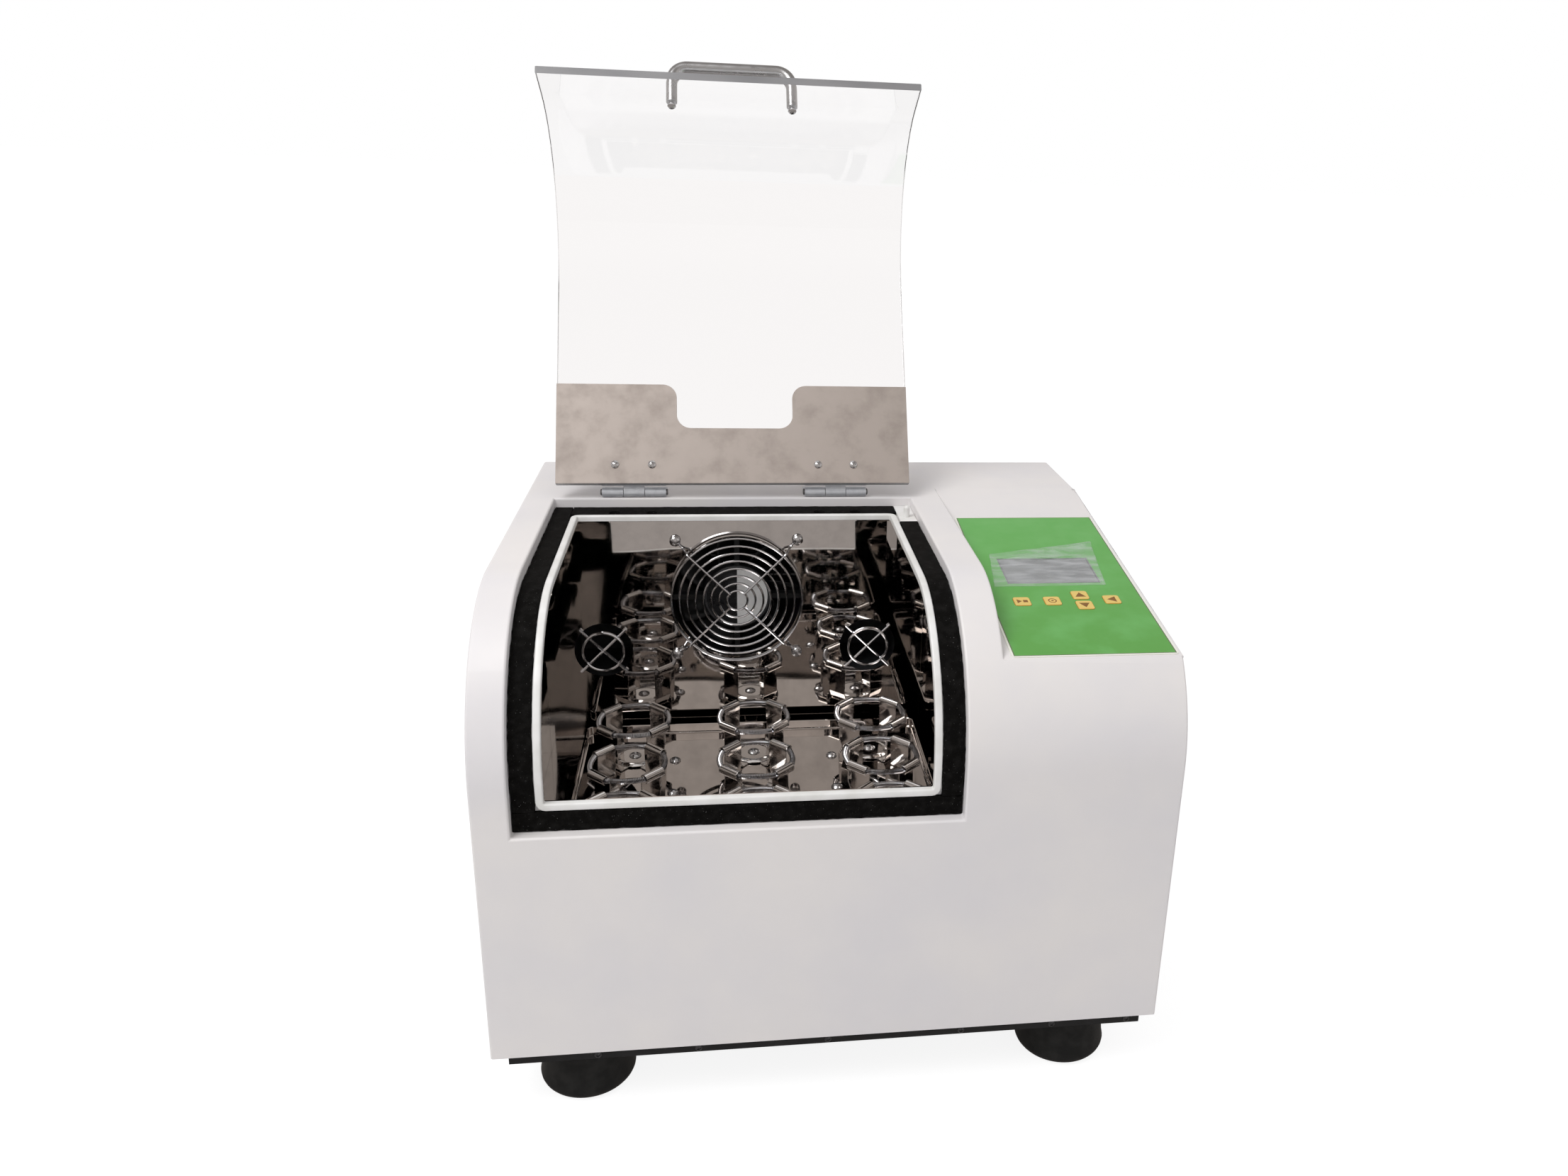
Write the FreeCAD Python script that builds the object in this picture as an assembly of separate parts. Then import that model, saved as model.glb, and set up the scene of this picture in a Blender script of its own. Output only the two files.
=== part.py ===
"""Incubated benchtop shaker: white sheet-steel casing, clear bent lid, orbiting platform with clamps.

The frame: +Z up, the controls look towards -Y, +X is the right-hand side. The origin lies on the
floor, under the middle of the casing. Places inside the casing are given from its left side, from
its front face and above its lower edge, all in millimetres.
"""
import FreeCAD, Part
import math
import os

V = FreeCAD.Vector
AXIS_X = V(1, 0, 0)
AXIS_Y = V(0, 1, 0)
AXIS_Z = V(0, 0, 1)
ORIGIN = V(0, 0, 0)
overrun = 5.0

# Casing
casing_width = 490.0
casing_depth = 425.0
front_wall_height = 210.0
shoulder_radius = 117.0
ground_clearance = 50.0
sheet = 1.5
seam_gap = 0.05
bottom_lip = 16.0
rear_lip = 12.0
rear_inset = 5.0
panel_gap = 0.4

# Recess for the lid, and the mouth of the chamber
recess_left = 25.0
ramp_from_recess = 27.5
recess_rear = 299.0
recess_below_shoulder = 33.0
recess_depth = 11.0
ledge_side = 21.5
ledge_rear = 27.5
ledge_front = 20.6
trim_width = 5.5
trim_height = 3.0
trim_skirt = 1.4
gasket_height = 3.0
gasket_gap = 0.4

# Control ramp
control_width = 130.5
ramp_drop = 41.0
ramp_low_from_front = 28.0
ramp_top_from_front = 328.0

# Lid
lid_thickness = 6.0
lid_side_gap = 2.0
lid_open_angle = 118.87
bracket_thickness = 1.5
bracket_reach = 93.0
bracket_notch_width = 100.0
bracket_notch_depth = 39.0
bracket_notch_radius = 12.0

# Hinges
hinge_barrel_radius = 4.0
hinge_pin_radius = 2.0
hinge_length = 54.0
hinge_from_lid_side = 64.7
hinge_behind_recess = 3.5
hinge_leaf_reach = 27.0
hinge_leaf_thickness = 1.5
hinge_leaf_notch = 4.8
hinge_gap = 0.4
hinge_lift = 0.3
lid_edge_from_hinge = 5.0
knuckle_length = 17.6
hinge_screw_spacing = 31.0
hinge_screw_from_pin = 21.5
running_gap = 0.05

# Handle
handle_spacing = 98.0
handle_rod_radius = 4.5
handle_standoff = 30.0
handle_bend_radius = 13.0
handle_above_shoulder = 7.0

# Chamber
chamber_side = 12.5
chamber_behind_mouth = 6.9
chamber_floor = 96.0
liner_sheet = 1.0
liner_gap = 0.1
switch_corner_side = 18.5
switch_corner_rear = 53.0
switch_corner_drop = 42.0

# Fan, vents and the air box behind the rear wall
fan_below_ledge = 12.5
fan_screw_pitch = 104.8
fan_size = 119.0
fan_depth = 38.0
fan_bore_radius = 56.0
fan_hub_radius = 29.0
fan_blade_thickness = 1.6
fan_blade_count = 7
fan_boss_depth = 9.0
fan_running_gap = 0.8
fan_axle_radius = 3.0
guard_wire_radius = 1.1
guard_outer_radius = 56.5
guard_inner_radius = 9.0
guard_ring_count = 8
guard_standoff = 9.0
guard_eye_wire_share = 0.9
guard_weld_depth = 0.8
vent_offset_share = 0.35
vent_below_fan = 48.0
vent_radius = 25.0
vent_ring_radius = 17.5
vent_wire_radius = 1.4
vent_arm_radius = 28.0
air_box_depth = 66.0
air_box_beyond_vent = 28.0
air_box_below_fan = 74.5
air_box_above_fan = 68.5
air_box_sheet = 1.0

# Platform
orbit_radius = 12.5
platform_side_gap = 8.5
platform_end_gap = 1.9
platform_height = 120.0
platform_sheet = 1.5
platform_lip = 8.0
platform_corner = 6.0
hub_height = 11.0
main_hub_radius = 20.0
small_hub_radius = 13.5
platform_screw_from_clamp = 33.5
platform_screw_pitch = 55.0
platform_screw_shift = 9.0

# Flask clamps
clamp_pitch_x_share = 0.345
clamp_pitch_y_share = 0.322
clamp_shift_y = -6.0
clamp_sheet = 1.0
clamp_dish_radius = 17.0
clamp_leg_half_width = 9.0
clamp_ring_height = 36.0
clamp_ring_flat = 28.8
clamp_spring_flat = 28.3
clamp_spring_radius = 2.4
clamp_curl_gap = 0.5
clamp_base_reach = 25.5
clamp_bulge_height = 8.0
clamp_dish_rise = 3.0

# Drive under the chamber
drive_plate_height = 68.0
drive_plate_thickness = 4.0
drive_plate_left = 30.0
drive_plate_right = 34.0
drive_plate_half_depth = 124.0
drive_leg_radius = 8.0
drive_leg_inset = 14.0
shaft_radius = 8.5
main_bearing_radius = 17.5
main_bearing_width = 10.0
main_housing_radius = 24.0
main_flange_radius = 34.0
main_housing_drop = 28.0
flange_thickness = 6.0
housing_top_gap = 1.0
crank_disc_radius = 30.0
crank_disc_thickness = 6.0
crank_floor_gap = 3.0
crank_pin_radius = 6.0
crank_pin_bearing_radius = 14.0
crank_pin_bearing_width = 8.0
counterweight_radius = 52.0
counterweight_half_angle = 60.0
link_radius = 5.0
link_arm_radius = 9.0
link_bearing_radius = 9.5
link_bearing_width = 6.0
link_housing_radius = 14.0
link_flange_radius = 21.0
link_offset_x_share = 0.362
link_offset_front = 44.0
link_offset_rear = 98.0
open_pivot_gap = 0.3
pulley_radius = 54.0
pulley_height = 14.0
pulley_flange = 2.0
pulley_rim = 3.0
pulley_above_edge = 18.0
motor_pulley_radius = 13.5
belt_thickness = 2.4
belt_gap = 0.3
motor_from_right = 87.0
motor_radius = 41.0
motor_height = 78.0
motor_shaft_radius = 5.0
motor_shaft_grip = 30.0
motor_hole_radius = 20.0
shaft_end_drop = 4.0

# Base tray and feet
tray_side_inset = 12.0
tray_front_inset = 2.0
tray_rear_inset = 6.5
tray_height = 7.0
tray_sheet = 2.0
foot_from_side = 62.0
foot_from_front = 42.0
foot_top_radius = 31.0
foot_bottom_radius = 35.0
foot_round = 8.0
foot_bore_radius = 9.0
foot_bore_depth = 24.0
foot_bolt_radius = 4.0
foot_bolt_head_radius = 6.5
foot_bolt_head_height = 5.0
foot_nut_radius = 7.0
foot_nut_height = 5.0

# Screws
strip_screw_head_radius = 2.6
strip_screw_head_height = 1.8
strip_screw_radius = 1.5
strip_screw_length = 6.0
dome_screw_head_radius = 4.6
dome_screw_head_height = 3.2
dome_screw_radius = 2.2
dome_screw_length = 12.0
clamp_screw_head_radius = 5.0
clamp_screw_head_height = 2.6
platform_screw_tail = 2.0
lid_screw_head_radius = 3.4
lid_screw_head_height = 1.8
lid_screw_radius = 2.0
handle_screw_head_radius = 3.5
handle_screw_head_height = 3.0
handle_screw_grip = 8.0
rear_screw_from_edge = 7.0

# Control panel, across from the ramp's left edge and down from its top
label_left = 8.5
label_right = 126.5
label_top = 67.5
label_bottom = 297.0
label_thickness = 0.6
label_corner = 3.0
display_left = 27.0
display_right = 102.0
display_top = 146.5
display_bottom = 190.0
display_thickness = 7.0
display_below_label = 0.2
display_gap = 0.3
key_width = 14.5
key_length = 7.6
key_corner = 2.4
key_proud = 0.5
key_depth = 2.6
key_gap = 0.25
key_travel = 0.5
key_start_x = 31.5
key_set_x = 55.5
key_arrow_x = 79.7
key_shift_x = 102.7
key_row = 217.4
key_up_row = 210.1
key_down_row = 225.0
board_thickness = 1.6
board_below = 14.0
board_left = 12.5
board_right = 118.5
board_top = 120.0
board_bottom = 262.0
board_stud_radius = 3.0
board_stud_inset = 7.0
board_part_height = 6.0

# Power supply and inlet
supply_left = 8.5
supply_right = 110.5
supply_from_drive = 2.0
supply_from_rear = 53.0
supply_height = 42.0
inlet_from_right = 70.0
inlet_height = 62.0
inlet_width = 27.0
inlet_length = 47.0
inlet_body_depth = 24.0
inlet_flange = 4.0
inlet_flange_thickness = 2.5
socket_width = 24.0
socket_length = 16.0
socket_depth = 15.0
socket_pin_length = 9.0
socket_pin_radius = 1.6
socket_pin_pitch = 7.0
rocker_width = 19.0
rocker_length = 13.0
rocker_gap = 0.4
rocker_setback = 4.5
rocker_dish = 1.2
rocker_tilt = 12.0
rocker_pin_radius = 1.2
rocker_pin_length = 1.8

# Lid switch
switch_from_side = 8.0
switch_from_rear = 33.0
switch_tile_half = 7.0
switch_barrel_radius = 5.5
switch_barrel_depth = 24.0
switch_plunger_radius = 2.6
switch_plunger_rise = 10.0
switch_travel = 9.6

# Places worked out from the sizes above
x_left = -casing_width / 2
x_right = casing_width / 2
y_front = -casing_depth / 2
y_rear = casing_depth / 2
z_edge = ground_clearance
z_shoulder = ground_clearance + front_wall_height
z_top = z_shoulder + shoulder_radius
shoulder_y = y_front + shoulder_radius

ramp_x0 = x_right - control_width
recess_x0 = x_left + recess_left
recess_x1 = ramp_x0 - ramp_from_recess
recess_y1 = y_front + recess_rear
recess_z0 = z_shoulder - recess_below_shoulder
mouth_x0 = recess_x0 + ledge_side
mouth_x1 = recess_x1 - ledge_side
mouth_y1 = recess_y1 - ledge_rear
mouth_z0 = recess_z0 + ledge_front
trim_top_depth = recess_depth - trim_height
lid_centre_x = (recess_x0 + recess_x1) / 2

ramp_low = (y_front + ramp_low_from_front, z_top - ramp_drop)
ramp_top = (y_front + ramp_top_from_front, z_top)
ramp_angle = math.degrees(math.atan2(ramp_top[1] - ramp_low[1], ramp_top[0] - ramp_low[0]))

hinge_y = recess_y1 + hinge_behind_recess
hinge_z = z_top + hinge_barrel_radius + hinge_lift
lid_x0 = recess_x0 + lid_side_gap
lid_x1 = recess_x1 - lid_side_gap
lid_y1 = hinge_y - lid_edge_from_hinge
lid_z0 = recess_z0 + lid_side_gap
hinge_centres = [lid_x0 + hinge_from_lid_side, lid_x1 - hinge_from_lid_side]
hinge_screw_y = hinge_y - hinge_screw_from_pin

chamber_x0 = recess_x0 - chamber_side
chamber_x1 = recess_x1 + chamber_side
chamber_y0 = y_front + recess_depth + sheet + liner_gap + liner_sheet
chamber_y1 = mouth_y1 + chamber_behind_mouth
chamber_z0 = z_edge + chamber_floor
corner_x = recess_x1 - switch_corner_side
corner_y = recess_y1 - switch_corner_rear
corner_z = z_top - switch_corner_drop
chamber_mid_x = (chamber_x0 + chamber_x1) / 2
chamber_mid_y = (chamber_y0 + chamber_y1) / 2

ledge_z = z_top - recess_depth
fan_x = chamber_mid_x
fan_z = ledge_z - sheet - fan_below_ledge - fan_size / 2
fan_y0 = chamber_y1 + liner_sheet
vent_z = fan_z - vent_below_fan
vent_offset = vent_offset_share * (chamber_x1 - chamber_x0)
vent_centres = [fan_x - vent_offset, fan_x + vent_offset]
air_box_half_width = vent_offset + air_box_beyond_vent

platform_x = chamber_mid_x + orbit_radius
platform_y = chamber_mid_y
platform_width = chamber_x1 - chamber_x0 - 2 * (orbit_radius + platform_side_gap)
platform_depth = chamber_y1 - chamber_y0 - 2 * (orbit_radius + platform_end_gap)
platform_z = z_edge + platform_height
platform_under = platform_z - platform_sheet
clamp_pitch_x = clamp_pitch_x_share * platform_width
clamp_pitch_y = clamp_pitch_y_share * platform_depth
clamp_y = platform_y + clamp_shift_y
ring_z = platform_z + clamp_ring_height

plate_z0 = z_edge + drive_plate_height
plate_z1 = plate_z0 + drive_plate_thickness
crank_z0 = chamber_z0 + crank_floor_gap
crank_z1 = crank_z0 + crank_disc_thickness
pulley_z0 = z_edge + pulley_above_edge
pulley_z1 = pulley_z0 + pulley_height
motor_x = x_right - motor_from_right
housing_z0 = plate_z1 - main_housing_drop - flange_thickness
housing_z1 = chamber_z0 - liner_sheet - housing_top_gap
link_offset_x = link_offset_x_share * platform_width
link_places = [
    (chamber_mid_x - link_offset_x, chamber_mid_y - link_offset_front),
    (chamber_mid_x + link_offset_x, chamber_mid_y - link_offset_front),
    (chamber_mid_x, chamber_mid_y + link_offset_rear),
]

tray_z0 = z_edge - tray_height
foot_places = [
    (sx * (x_right - foot_from_side), sy * (y_rear - foot_from_front))
    for sx in (-1, 1)
    for sy in (-1, 1)
]

panel_y0 = y_rear - rear_inset - sheet
panel_y1 = y_rear - rear_inset
inlet_x = x_right - inlet_from_right
inlet_z = z_edge + inlet_height

switch_x = recess_x1 - switch_from_side
switch_y = recess_y1 - switch_from_rear

key_places = {
    "key_start": (key_start_x, key_row),
    "key_set": (key_set_x, key_row),
    "key_up": (key_arrow_x, key_up_row),
    "key_down": (key_arrow_x, key_down_row),
    "key_shift": (key_shift_x, key_row),
}


# Small building blocks

def box(x0, x1, y0, y1, z0, z1):
    return Part.makeBox(x1 - x0, y1 - y0, z1 - z0, V(x0, y0, z0))


def post(x, y, z0, z1, radius):
    """Round bar standing along Z."""
    return Part.makeCylinder(radius, z1 - z0, V(x, y, z0), AXIS_Z)


def bar_x(x0, x1, y, z, radius):
    return Part.makeCylinder(radius, x1 - x0, V(x0, y, z), AXIS_X)


def bar_y(x, y0, y1, z, radius):
    return Part.makeCylinder(radius, y1 - y0, V(x, y0, z), AXIS_Y)


def tube(x, y, z0, z1, outer, inner):
    return post(x, y, z0, z1, outer).cut(post(x, y, z0 - overrun, z1 + overrun, inner))


def fuse_all(shapes):
    """One solid from many that touch or overlap."""
    joined = shapes[0].multiFuse(shapes[1:]) if len(shapes) > 1 else shapes[0]
    return joined.removeSplitter()


def fuse_in_turn(shapes):
    """The same, one shape after another, for wires that cross in many places."""
    joined = shapes[0]
    for shape in shapes[1:]:
        joined = joined.fuse(shape)
    return joined


def cut_all(shape, cutters):
    return shape.cut(Part.makeCompound(cutters)) if cutters else shape


def rounded_plate(x0, x1, y0, y1, z0, z1, radius):
    """Flat plate with round vertical corners."""
    plate = box(x0, x1, y0, y1, z0, z1)
    upright = [e for e in plate.Edges if abs(e.tangentAt(e.FirstParameter).z) == 1]
    return plate.makeFillet(radius, upright)


def bent_rod(points, radius, bend):
    """Round rod along straight runs joined by arcs of the bend radius."""
    edges = []
    start = points[0]
    for before, corner, after in zip(points, points[1:], points[2:]):
        arriving = (corner - before).normalize()
        leaving = (after - corner).normalize()
        half_turn = arriving.getAngle(leaving) / 2
        setback = bend * math.tan(half_turn)
        arc_start = corner - arriving * setback
        arc_end = corner + leaving * setback
        inwards = (leaving - arriving).normalize()
        arc_middle = corner + inwards * (bend / math.cos(half_turn) - bend)
        edges.append(Part.LineSegment(start, arc_start).toShape())
        edges.append(Part.Arc(arc_start, arc_middle, arc_end).toShape())
        start = arc_end
    edges.append(Part.LineSegment(start, points[-1]).toShape())
    ring = Part.Wire(Part.makeCircle(radius, points[0], points[1] - points[0]))
    return Part.Wire(edges).makePipeShell([ring], True, False)


def dome_head(radius, height):
    """Domed screw head on the XY plane, bulging towards +Z."""
    ball = (radius * radius + height * height) / (2 * height)
    cap = Part.makeSphere(ball, V(0, 0, height - ball))
    return cap.common(Part.makeCylinder(radius, height, ORIGIN, AXIS_Z))


def screw(head_radius, head_height, shank_radius, shank_length, place, direction):
    """Screw whose head bulges along direction and whose shank runs the other way."""
    shank = Part.makeCylinder(shank_radius, shank_length, V(0, 0, -shank_length), AXIS_Z)
    whole = dome_head(head_radius, head_height).fuse(shank).removeSplitter()
    turn = FreeCAD.Rotation(AXIS_Z, direction)
    whole.Placement = FreeCAD.Placement(place, turn)
    return whole


def ball_bearing(x, y, z0, width, outer, inner):
    """Two races and the ball ring between them, closed into one sealed bearing."""
    race = (outer - inner) / 4
    body = tube(x, y, z0, z0 + width, outer, inner)
    groove = tube(x, y, z0 + width - race / 2, z0 + width + overrun, outer - race, inner + race)
    return body.cut(groove)


def profile_prism(inset, x0, x1, y1, z0):
    """The casing's side profile, drawn in by inset, from x0 to x1 and back to y1."""
    radius = shoulder_radius - inset
    centre = V(x0, shoulder_y, z_shoulder)
    diagonal = radius * math.sqrt(2) / 2
    low_front = V(x0, y_front + inset, z0)
    arc_start = V(x0, y_front + inset, z_shoulder)
    arc_middle = centre + V(0, -diagonal, diagonal)
    arc_end = centre + V(0, 0, radius)
    top_rear = V(x0, y1, z_top - inset)
    low_rear = V(x0, y1, z0)
    outline = Part.Wire([
        Part.LineSegment(low_front, arc_start).toShape(),
        Part.Arc(arc_start, arc_middle, arc_end).toShape(),
        Part.LineSegment(arc_end, top_rear).toShape(),
        Part.LineSegment(top_rear, low_rear).toShape(),
        Part.LineSegment(low_rear, low_front).toShape(),
    ])
    return Part.Face(outline).extrude(V(x1 - x0, 0, 0))


def profile_band(outer_inset, inner_inset, x0, x1, y1, z0):
    """Curved sheet between two depths below the casing's surface."""
    outer = profile_prism(outer_inset, x0, x1, y1, z0)
    inner = profile_prism(inner_inset, x0 - overrun, x1 + overrun, y1 + overrun, z0 - overrun)
    return outer.cut(inner)


def curved_frame(outer_inset, inner_inset, width, margin):
    """Frame of the given width round the mouth, margin outside its edge."""
    outer = profile_band(
        outer_inset, inner_inset,
        mouth_x0 - margin - width, mouth_x1 + margin + width,
        mouth_y1 + margin + width, mouth_z0 - margin - width)
    hole = box(
        mouth_x0 - margin, mouth_x1 + margin, y_front - overrun, mouth_y1 + margin,
        mouth_z0 - margin, z_top + overrun)
    return outer.cut(hole)


def above_ramp(lowered, x0):
    """Everything above the control ramp from x0 to the right, the ramp lowered by a distance."""
    slope = (ramp_top[1] - ramp_low[1]) / (ramp_top[0] - ramp_low[0])
    drop = lowered / math.cos(math.radians(ramp_angle))
    reach = y_front - overrun
    front_z = ramp_low[1] + slope * (reach - ramp_low[0]) - drop
    top = z_top + overrun
    corners = [
        V(x0, reach, front_z),
        V(x0, ramp_top[0], ramp_top[1] - drop),
        V(x0, ramp_top[0], top),
        V(x0, reach, top),
    ]
    outline = Part.makePolygon(corners + corners[:1])
    return Part.Face(outline).extrude(V(x_right + overrun - x0, 0, 0))


def on_ramp(shape):
    """Stand a piece drawn in the ramp's own frame (X, up the slope, out of it) on the ramp."""
    shape.rotate(ORIGIN, AXIS_X, ramp_angle)
    shape.translate(V(0, ramp_top[0], ramp_top[1]))
    return shape


def ramp_plate(left, right, top, bottom, low, high, radius):
    """Rounded plate on the ramp, from two places across and two down the slope."""
    return rounded_plate(ramp_x0 + left, ramp_x0 + right, -bottom, -top, low, high, radius)


def opened(shape):
    """Swing a piece of the closed lid to where the lid stands open."""
    shape.rotate(V(0, hinge_y, hinge_z), AXIS_X, -lid_open_angle)
    return shape


# Casing and base

def key_hole(name, low, high, gap):
    across, down = key_places[name]
    return on_ramp(ramp_plate(
        across - key_width / 2 - gap, across + key_width / 2 + gap,
        down - key_length / 2 - gap, down + key_length / 2 + gap, low, high, key_corner))


def display_hole(low, high, gap):
    return on_ramp(ramp_plate(
        display_left - gap, display_right + gap, display_top - gap, display_bottom + gap,
        low, high, display_gap))


def cheek(side, margin):
    """Where one side sheet of the casing lies."""
    edge = side * casing_width / 2
    inner = edge - side * (sheet + margin)
    outer = edge + side * overrun
    return box(
        min(inner, outer), max(inner, outer), y_front - overrun, y_rear + overrun,
        z_edge - overrun, z_top + overrun)


def pan_part(x0, x1, y0, y1, margin):
    """Where one side of the pan round the mouth lies."""
    return box(
        x0 - margin, x1 + margin, y0 - margin, y1 + margin, recess_z0 - sheet - margin,
        z_top + overrun)


def panel_places(margin):
    """The casing's panels, each grown by a margin."""
    x0 = recess_x0 - sheet
    x1 = recess_x1 + sheet
    y0 = y_front - overrun
    y1 = recess_y1 + sheet
    return [
        cheek(-1, margin),
        cheek(1, margin),
        pan_part(x0, mouth_x0 - trim_skirt, y0, y1, margin),
        pan_part(mouth_x1 + trim_skirt, x1, y0, y1, margin),
        pan_part(x0, x1, shoulder_y, y1, margin),
        pan_part(x0, x1, y0, shoulder_y, margin),
        above_ramp(sheet + margin, ramp_x0 - sheet - margin),
        box(x_left, x_right, y0, y_front + sheet + margin, z_edge - overrun,
            z_shoulder + margin),
        box(x_left, x_right, panel_y0 - sheet - margin, panel_y0, z_edge, z_top - sheet),
        box(x_left, x_right, y_front, y_rear, z_edge - overrun, z_edge + sheet + margin),
        box(x_left, x_right, shoulder_y - sheet - margin, y_rear + overrun, z_shoulder,
            z_top + overrun),
        box(ramp_x0 - sheet - margin, x_right, y0, shoulder_y, z_shoulder, z_top),
    ]


def parted(shape, places):
    """A folded shell as separate panels with a hairline seam between them."""
    panels = []
    rest = shape.Solids
    for place, wider in zip(places(0), places(seam_gap)):
        panels += [part for solid in rest for part in solid.common(place).Solids]
        rest = [part for solid in rest for part in solid.cut(wider).Solids]
    return Part.makeCompound(panels + rest)


def outer_casing():
    """Two cheeks, the pan round the mouth, the control ramp and the folded wrap, edge to edge."""
    whole = profile_prism(0, x_left, x_right, y_rear, z_edge)
    inside = profile_prism(
        sheet, x_left + sheet, x_right - sheet, y_rear + overrun, z_edge - overrun)
    inside = inside.cut(above_ramp(sheet, ramp_x0 - sheet))
    pocket = box(
        recess_x0, recess_x1, y_front - overrun, recess_y1, recess_z0, z_top + overrun)
    floor_line = profile_prism(
        recess_depth, recess_x0 - overrun, recess_x1 + overrun, y_rear, z_edge)
    pocket = pocket.cut(floor_line)
    pocket_skin = box(
        recess_x0 - sheet, recess_x1 + sheet, y_front - overrun, recess_y1 + sheet,
        recess_z0 - sheet, z_top + overrun)
    under_line = profile_prism(
        recess_depth + sheet, recess_x0 - overrun, recess_x1 + overrun, y_rear, z_edge)
    pocket_skin = pocket_skin.cut(under_line)
    shell = whole.cut(above_ramp(0, ramp_x0)).cut(pocket).cut(inside.cut(pocket_skin))
    mouth = box(
        mouth_x0 - trim_skirt, mouth_x1 + trim_skirt, y_front - overrun,
        mouth_y1 + trim_skirt, mouth_z0 - trim_skirt, z_top + overrun)
    switch_hole = post(
        switch_x, switch_y, ledge_z - overrun, ledge_z + overrun, switch_barrel_radius)
    cutters = [mouth, switch_hole, display_hole(-overrun, overrun, display_gap)]
    cutters += [key_hole(name, -overrun, overrun, key_gap) for name in key_places]
    shell = cut_all(shell, cutters)
    foot_lip = box(
        x_left + sheet, x_right - sheet, y_front + sheet, y_rear, z_edge, z_edge + sheet)
    foot_lip = foot_lip.cut(box(
        x_left + bottom_lip, x_right - bottom_lip, y_front + bottom_lip, panel_y0 - bottom_lip,
        z_edge - overrun, z_edge + overrun))
    back_lip = box(
        x_left + sheet, x_right - sheet, panel_y0 - sheet, panel_y0, z_edge + sheet,
        z_top - sheet)
    back_lip = back_lip.cut(box(
        x_left + rear_lip, x_right - rear_lip, panel_y0 - overrun, panel_y0 + overrun,
        z_edge + rear_lip, z_top - rear_lip))
    screw_holes = [
        bar_y(x, panel_y0 - overrun, panel_y0 + sheet, z, strip_screw_radius)
        for x, z in rear_screw_places()
    ]
    return parted(fuse_all([shell, foot_lip, cut_all(back_lip, screw_holes)]), panel_places)


def rear_screw_places():
    places = []
    for x in (x_left + rear_screw_from_edge, x_right - rear_screw_from_edge):
        for share in (0.1, 0.5, 0.9):
            places.append((x, z_edge + share * (z_top - z_edge)))
    return places


def rear_panel():
    panel = box(
        x_left + sheet + panel_gap, x_right - sheet - panel_gap, panel_y0, panel_y1,
        z_edge + sheet + panel_gap, z_top - sheet - panel_gap)
    louvre_count = 9
    louvre_half_length = air_box_half_width / 2
    cutters = []
    for index in range(louvre_count):
        z = fan_z - fan_size / 2 + index * fan_size / (louvre_count - 1)
        cutters.append(box(
            fan_x - louvre_half_length, fan_x + louvre_half_length, panel_y0 - overrun,
            panel_y1 + overrun, z - sheet, z + sheet))
    cutters.append(box(
        inlet_x - inlet_width / 2, inlet_x + inlet_width / 2, panel_y0 - overrun,
        panel_y1 + overrun, inlet_z - inlet_length / 2, inlet_z + inlet_length / 2))
    for x, z in rear_screw_places():
        cutters.append(bar_y(x, panel_y0 - overrun, panel_y1 + overrun, z, strip_screw_radius))
    return cut_all(panel, cutters)


def strip_screw_places():
    """Six screws along the front strip, spaced by hand as shares of the tray's length."""
    strip_shares = (0.133, 0.286, 0.488, 0.702, 0.852, 0.978)
    start = x_left + tray_side_inset
    length = casing_width - 2 * tray_side_inset
    return [start + share * length for share in strip_shares]


def body_screws():
    screws = []
    strip_y = y_front + tray_front_inset
    for x in strip_screw_places():
        screws.append(screw(
            strip_screw_head_radius, strip_screw_head_height, strip_screw_radius,
            strip_screw_length, V(x, strip_y, z_edge - tray_height / 2), -AXIS_Y))
    for x, z in rear_screw_places():
        screws.append(screw(
            strip_screw_head_radius, strip_screw_head_height, strip_screw_radius,
            strip_screw_length, V(x, panel_y1, z), AXIS_Y))
    for x, y in foot_places:
        head_z = foot_bore_depth
        bolt = fuse_all([
            post(x, y, head_z - foot_bolt_head_height, head_z, foot_bolt_head_radius),
            post(x, y, head_z, tray_z0 + tray_sheet + foot_nut_height, foot_bolt_radius),
        ])
        nut = tube(
            x, y, tray_z0 + tray_sheet, tray_z0 + tray_sheet + foot_nut_height,
            foot_nut_radius, foot_bolt_radius)
        screws += [bolt, nut]
    return Part.makeCompound(screws)


def base_tray():
    x0 = x_left + tray_side_inset
    x1 = x_right - tray_side_inset
    y0 = y_front + tray_front_inset
    y1 = y_rear - tray_rear_inset
    tray = box(x0, x1, y0, y1, tray_z0, z_edge)
    tray = tray.cut(box(
        x0 + tray_sheet, x1 - tray_sheet, y0 + tray_sheet, y1 - tray_sheet,
        tray_z0 + tray_sheet, z_edge + overrun))
    holes = [post(x, y, tray_z0 - overrun, z_edge, foot_bolt_radius) for x, y in foot_places]
    holes += [
        bar_y(x, y0 - overrun, y0 + overrun, z_edge - tray_height / 2, strip_screw_radius)
        for x in strip_screw_places()
    ]
    return cut_all(tray, holes)


def rubber_feet():
    feet = []
    for x, y in foot_places:
        foot = Part.makeCone(foot_bottom_radius, foot_top_radius, tray_z0, V(x, y, 0), AXIS_Z)
        low = [e for e in foot.Edges if abs(e.CenterOfMass.z) < panel_gap and len(e.Vertexes) == 1]
        foot = foot.makeFillet(foot_round, low)
        foot = foot.cut(post(x, y, -overrun, foot_bore_depth, foot_bore_radius))
        foot = foot.cut(post(x, y, 0, tray_z0 + overrun, foot_bolt_radius))
        feet.append(foot)
    return Part.makeCompound(feet)


# Chamber

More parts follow.
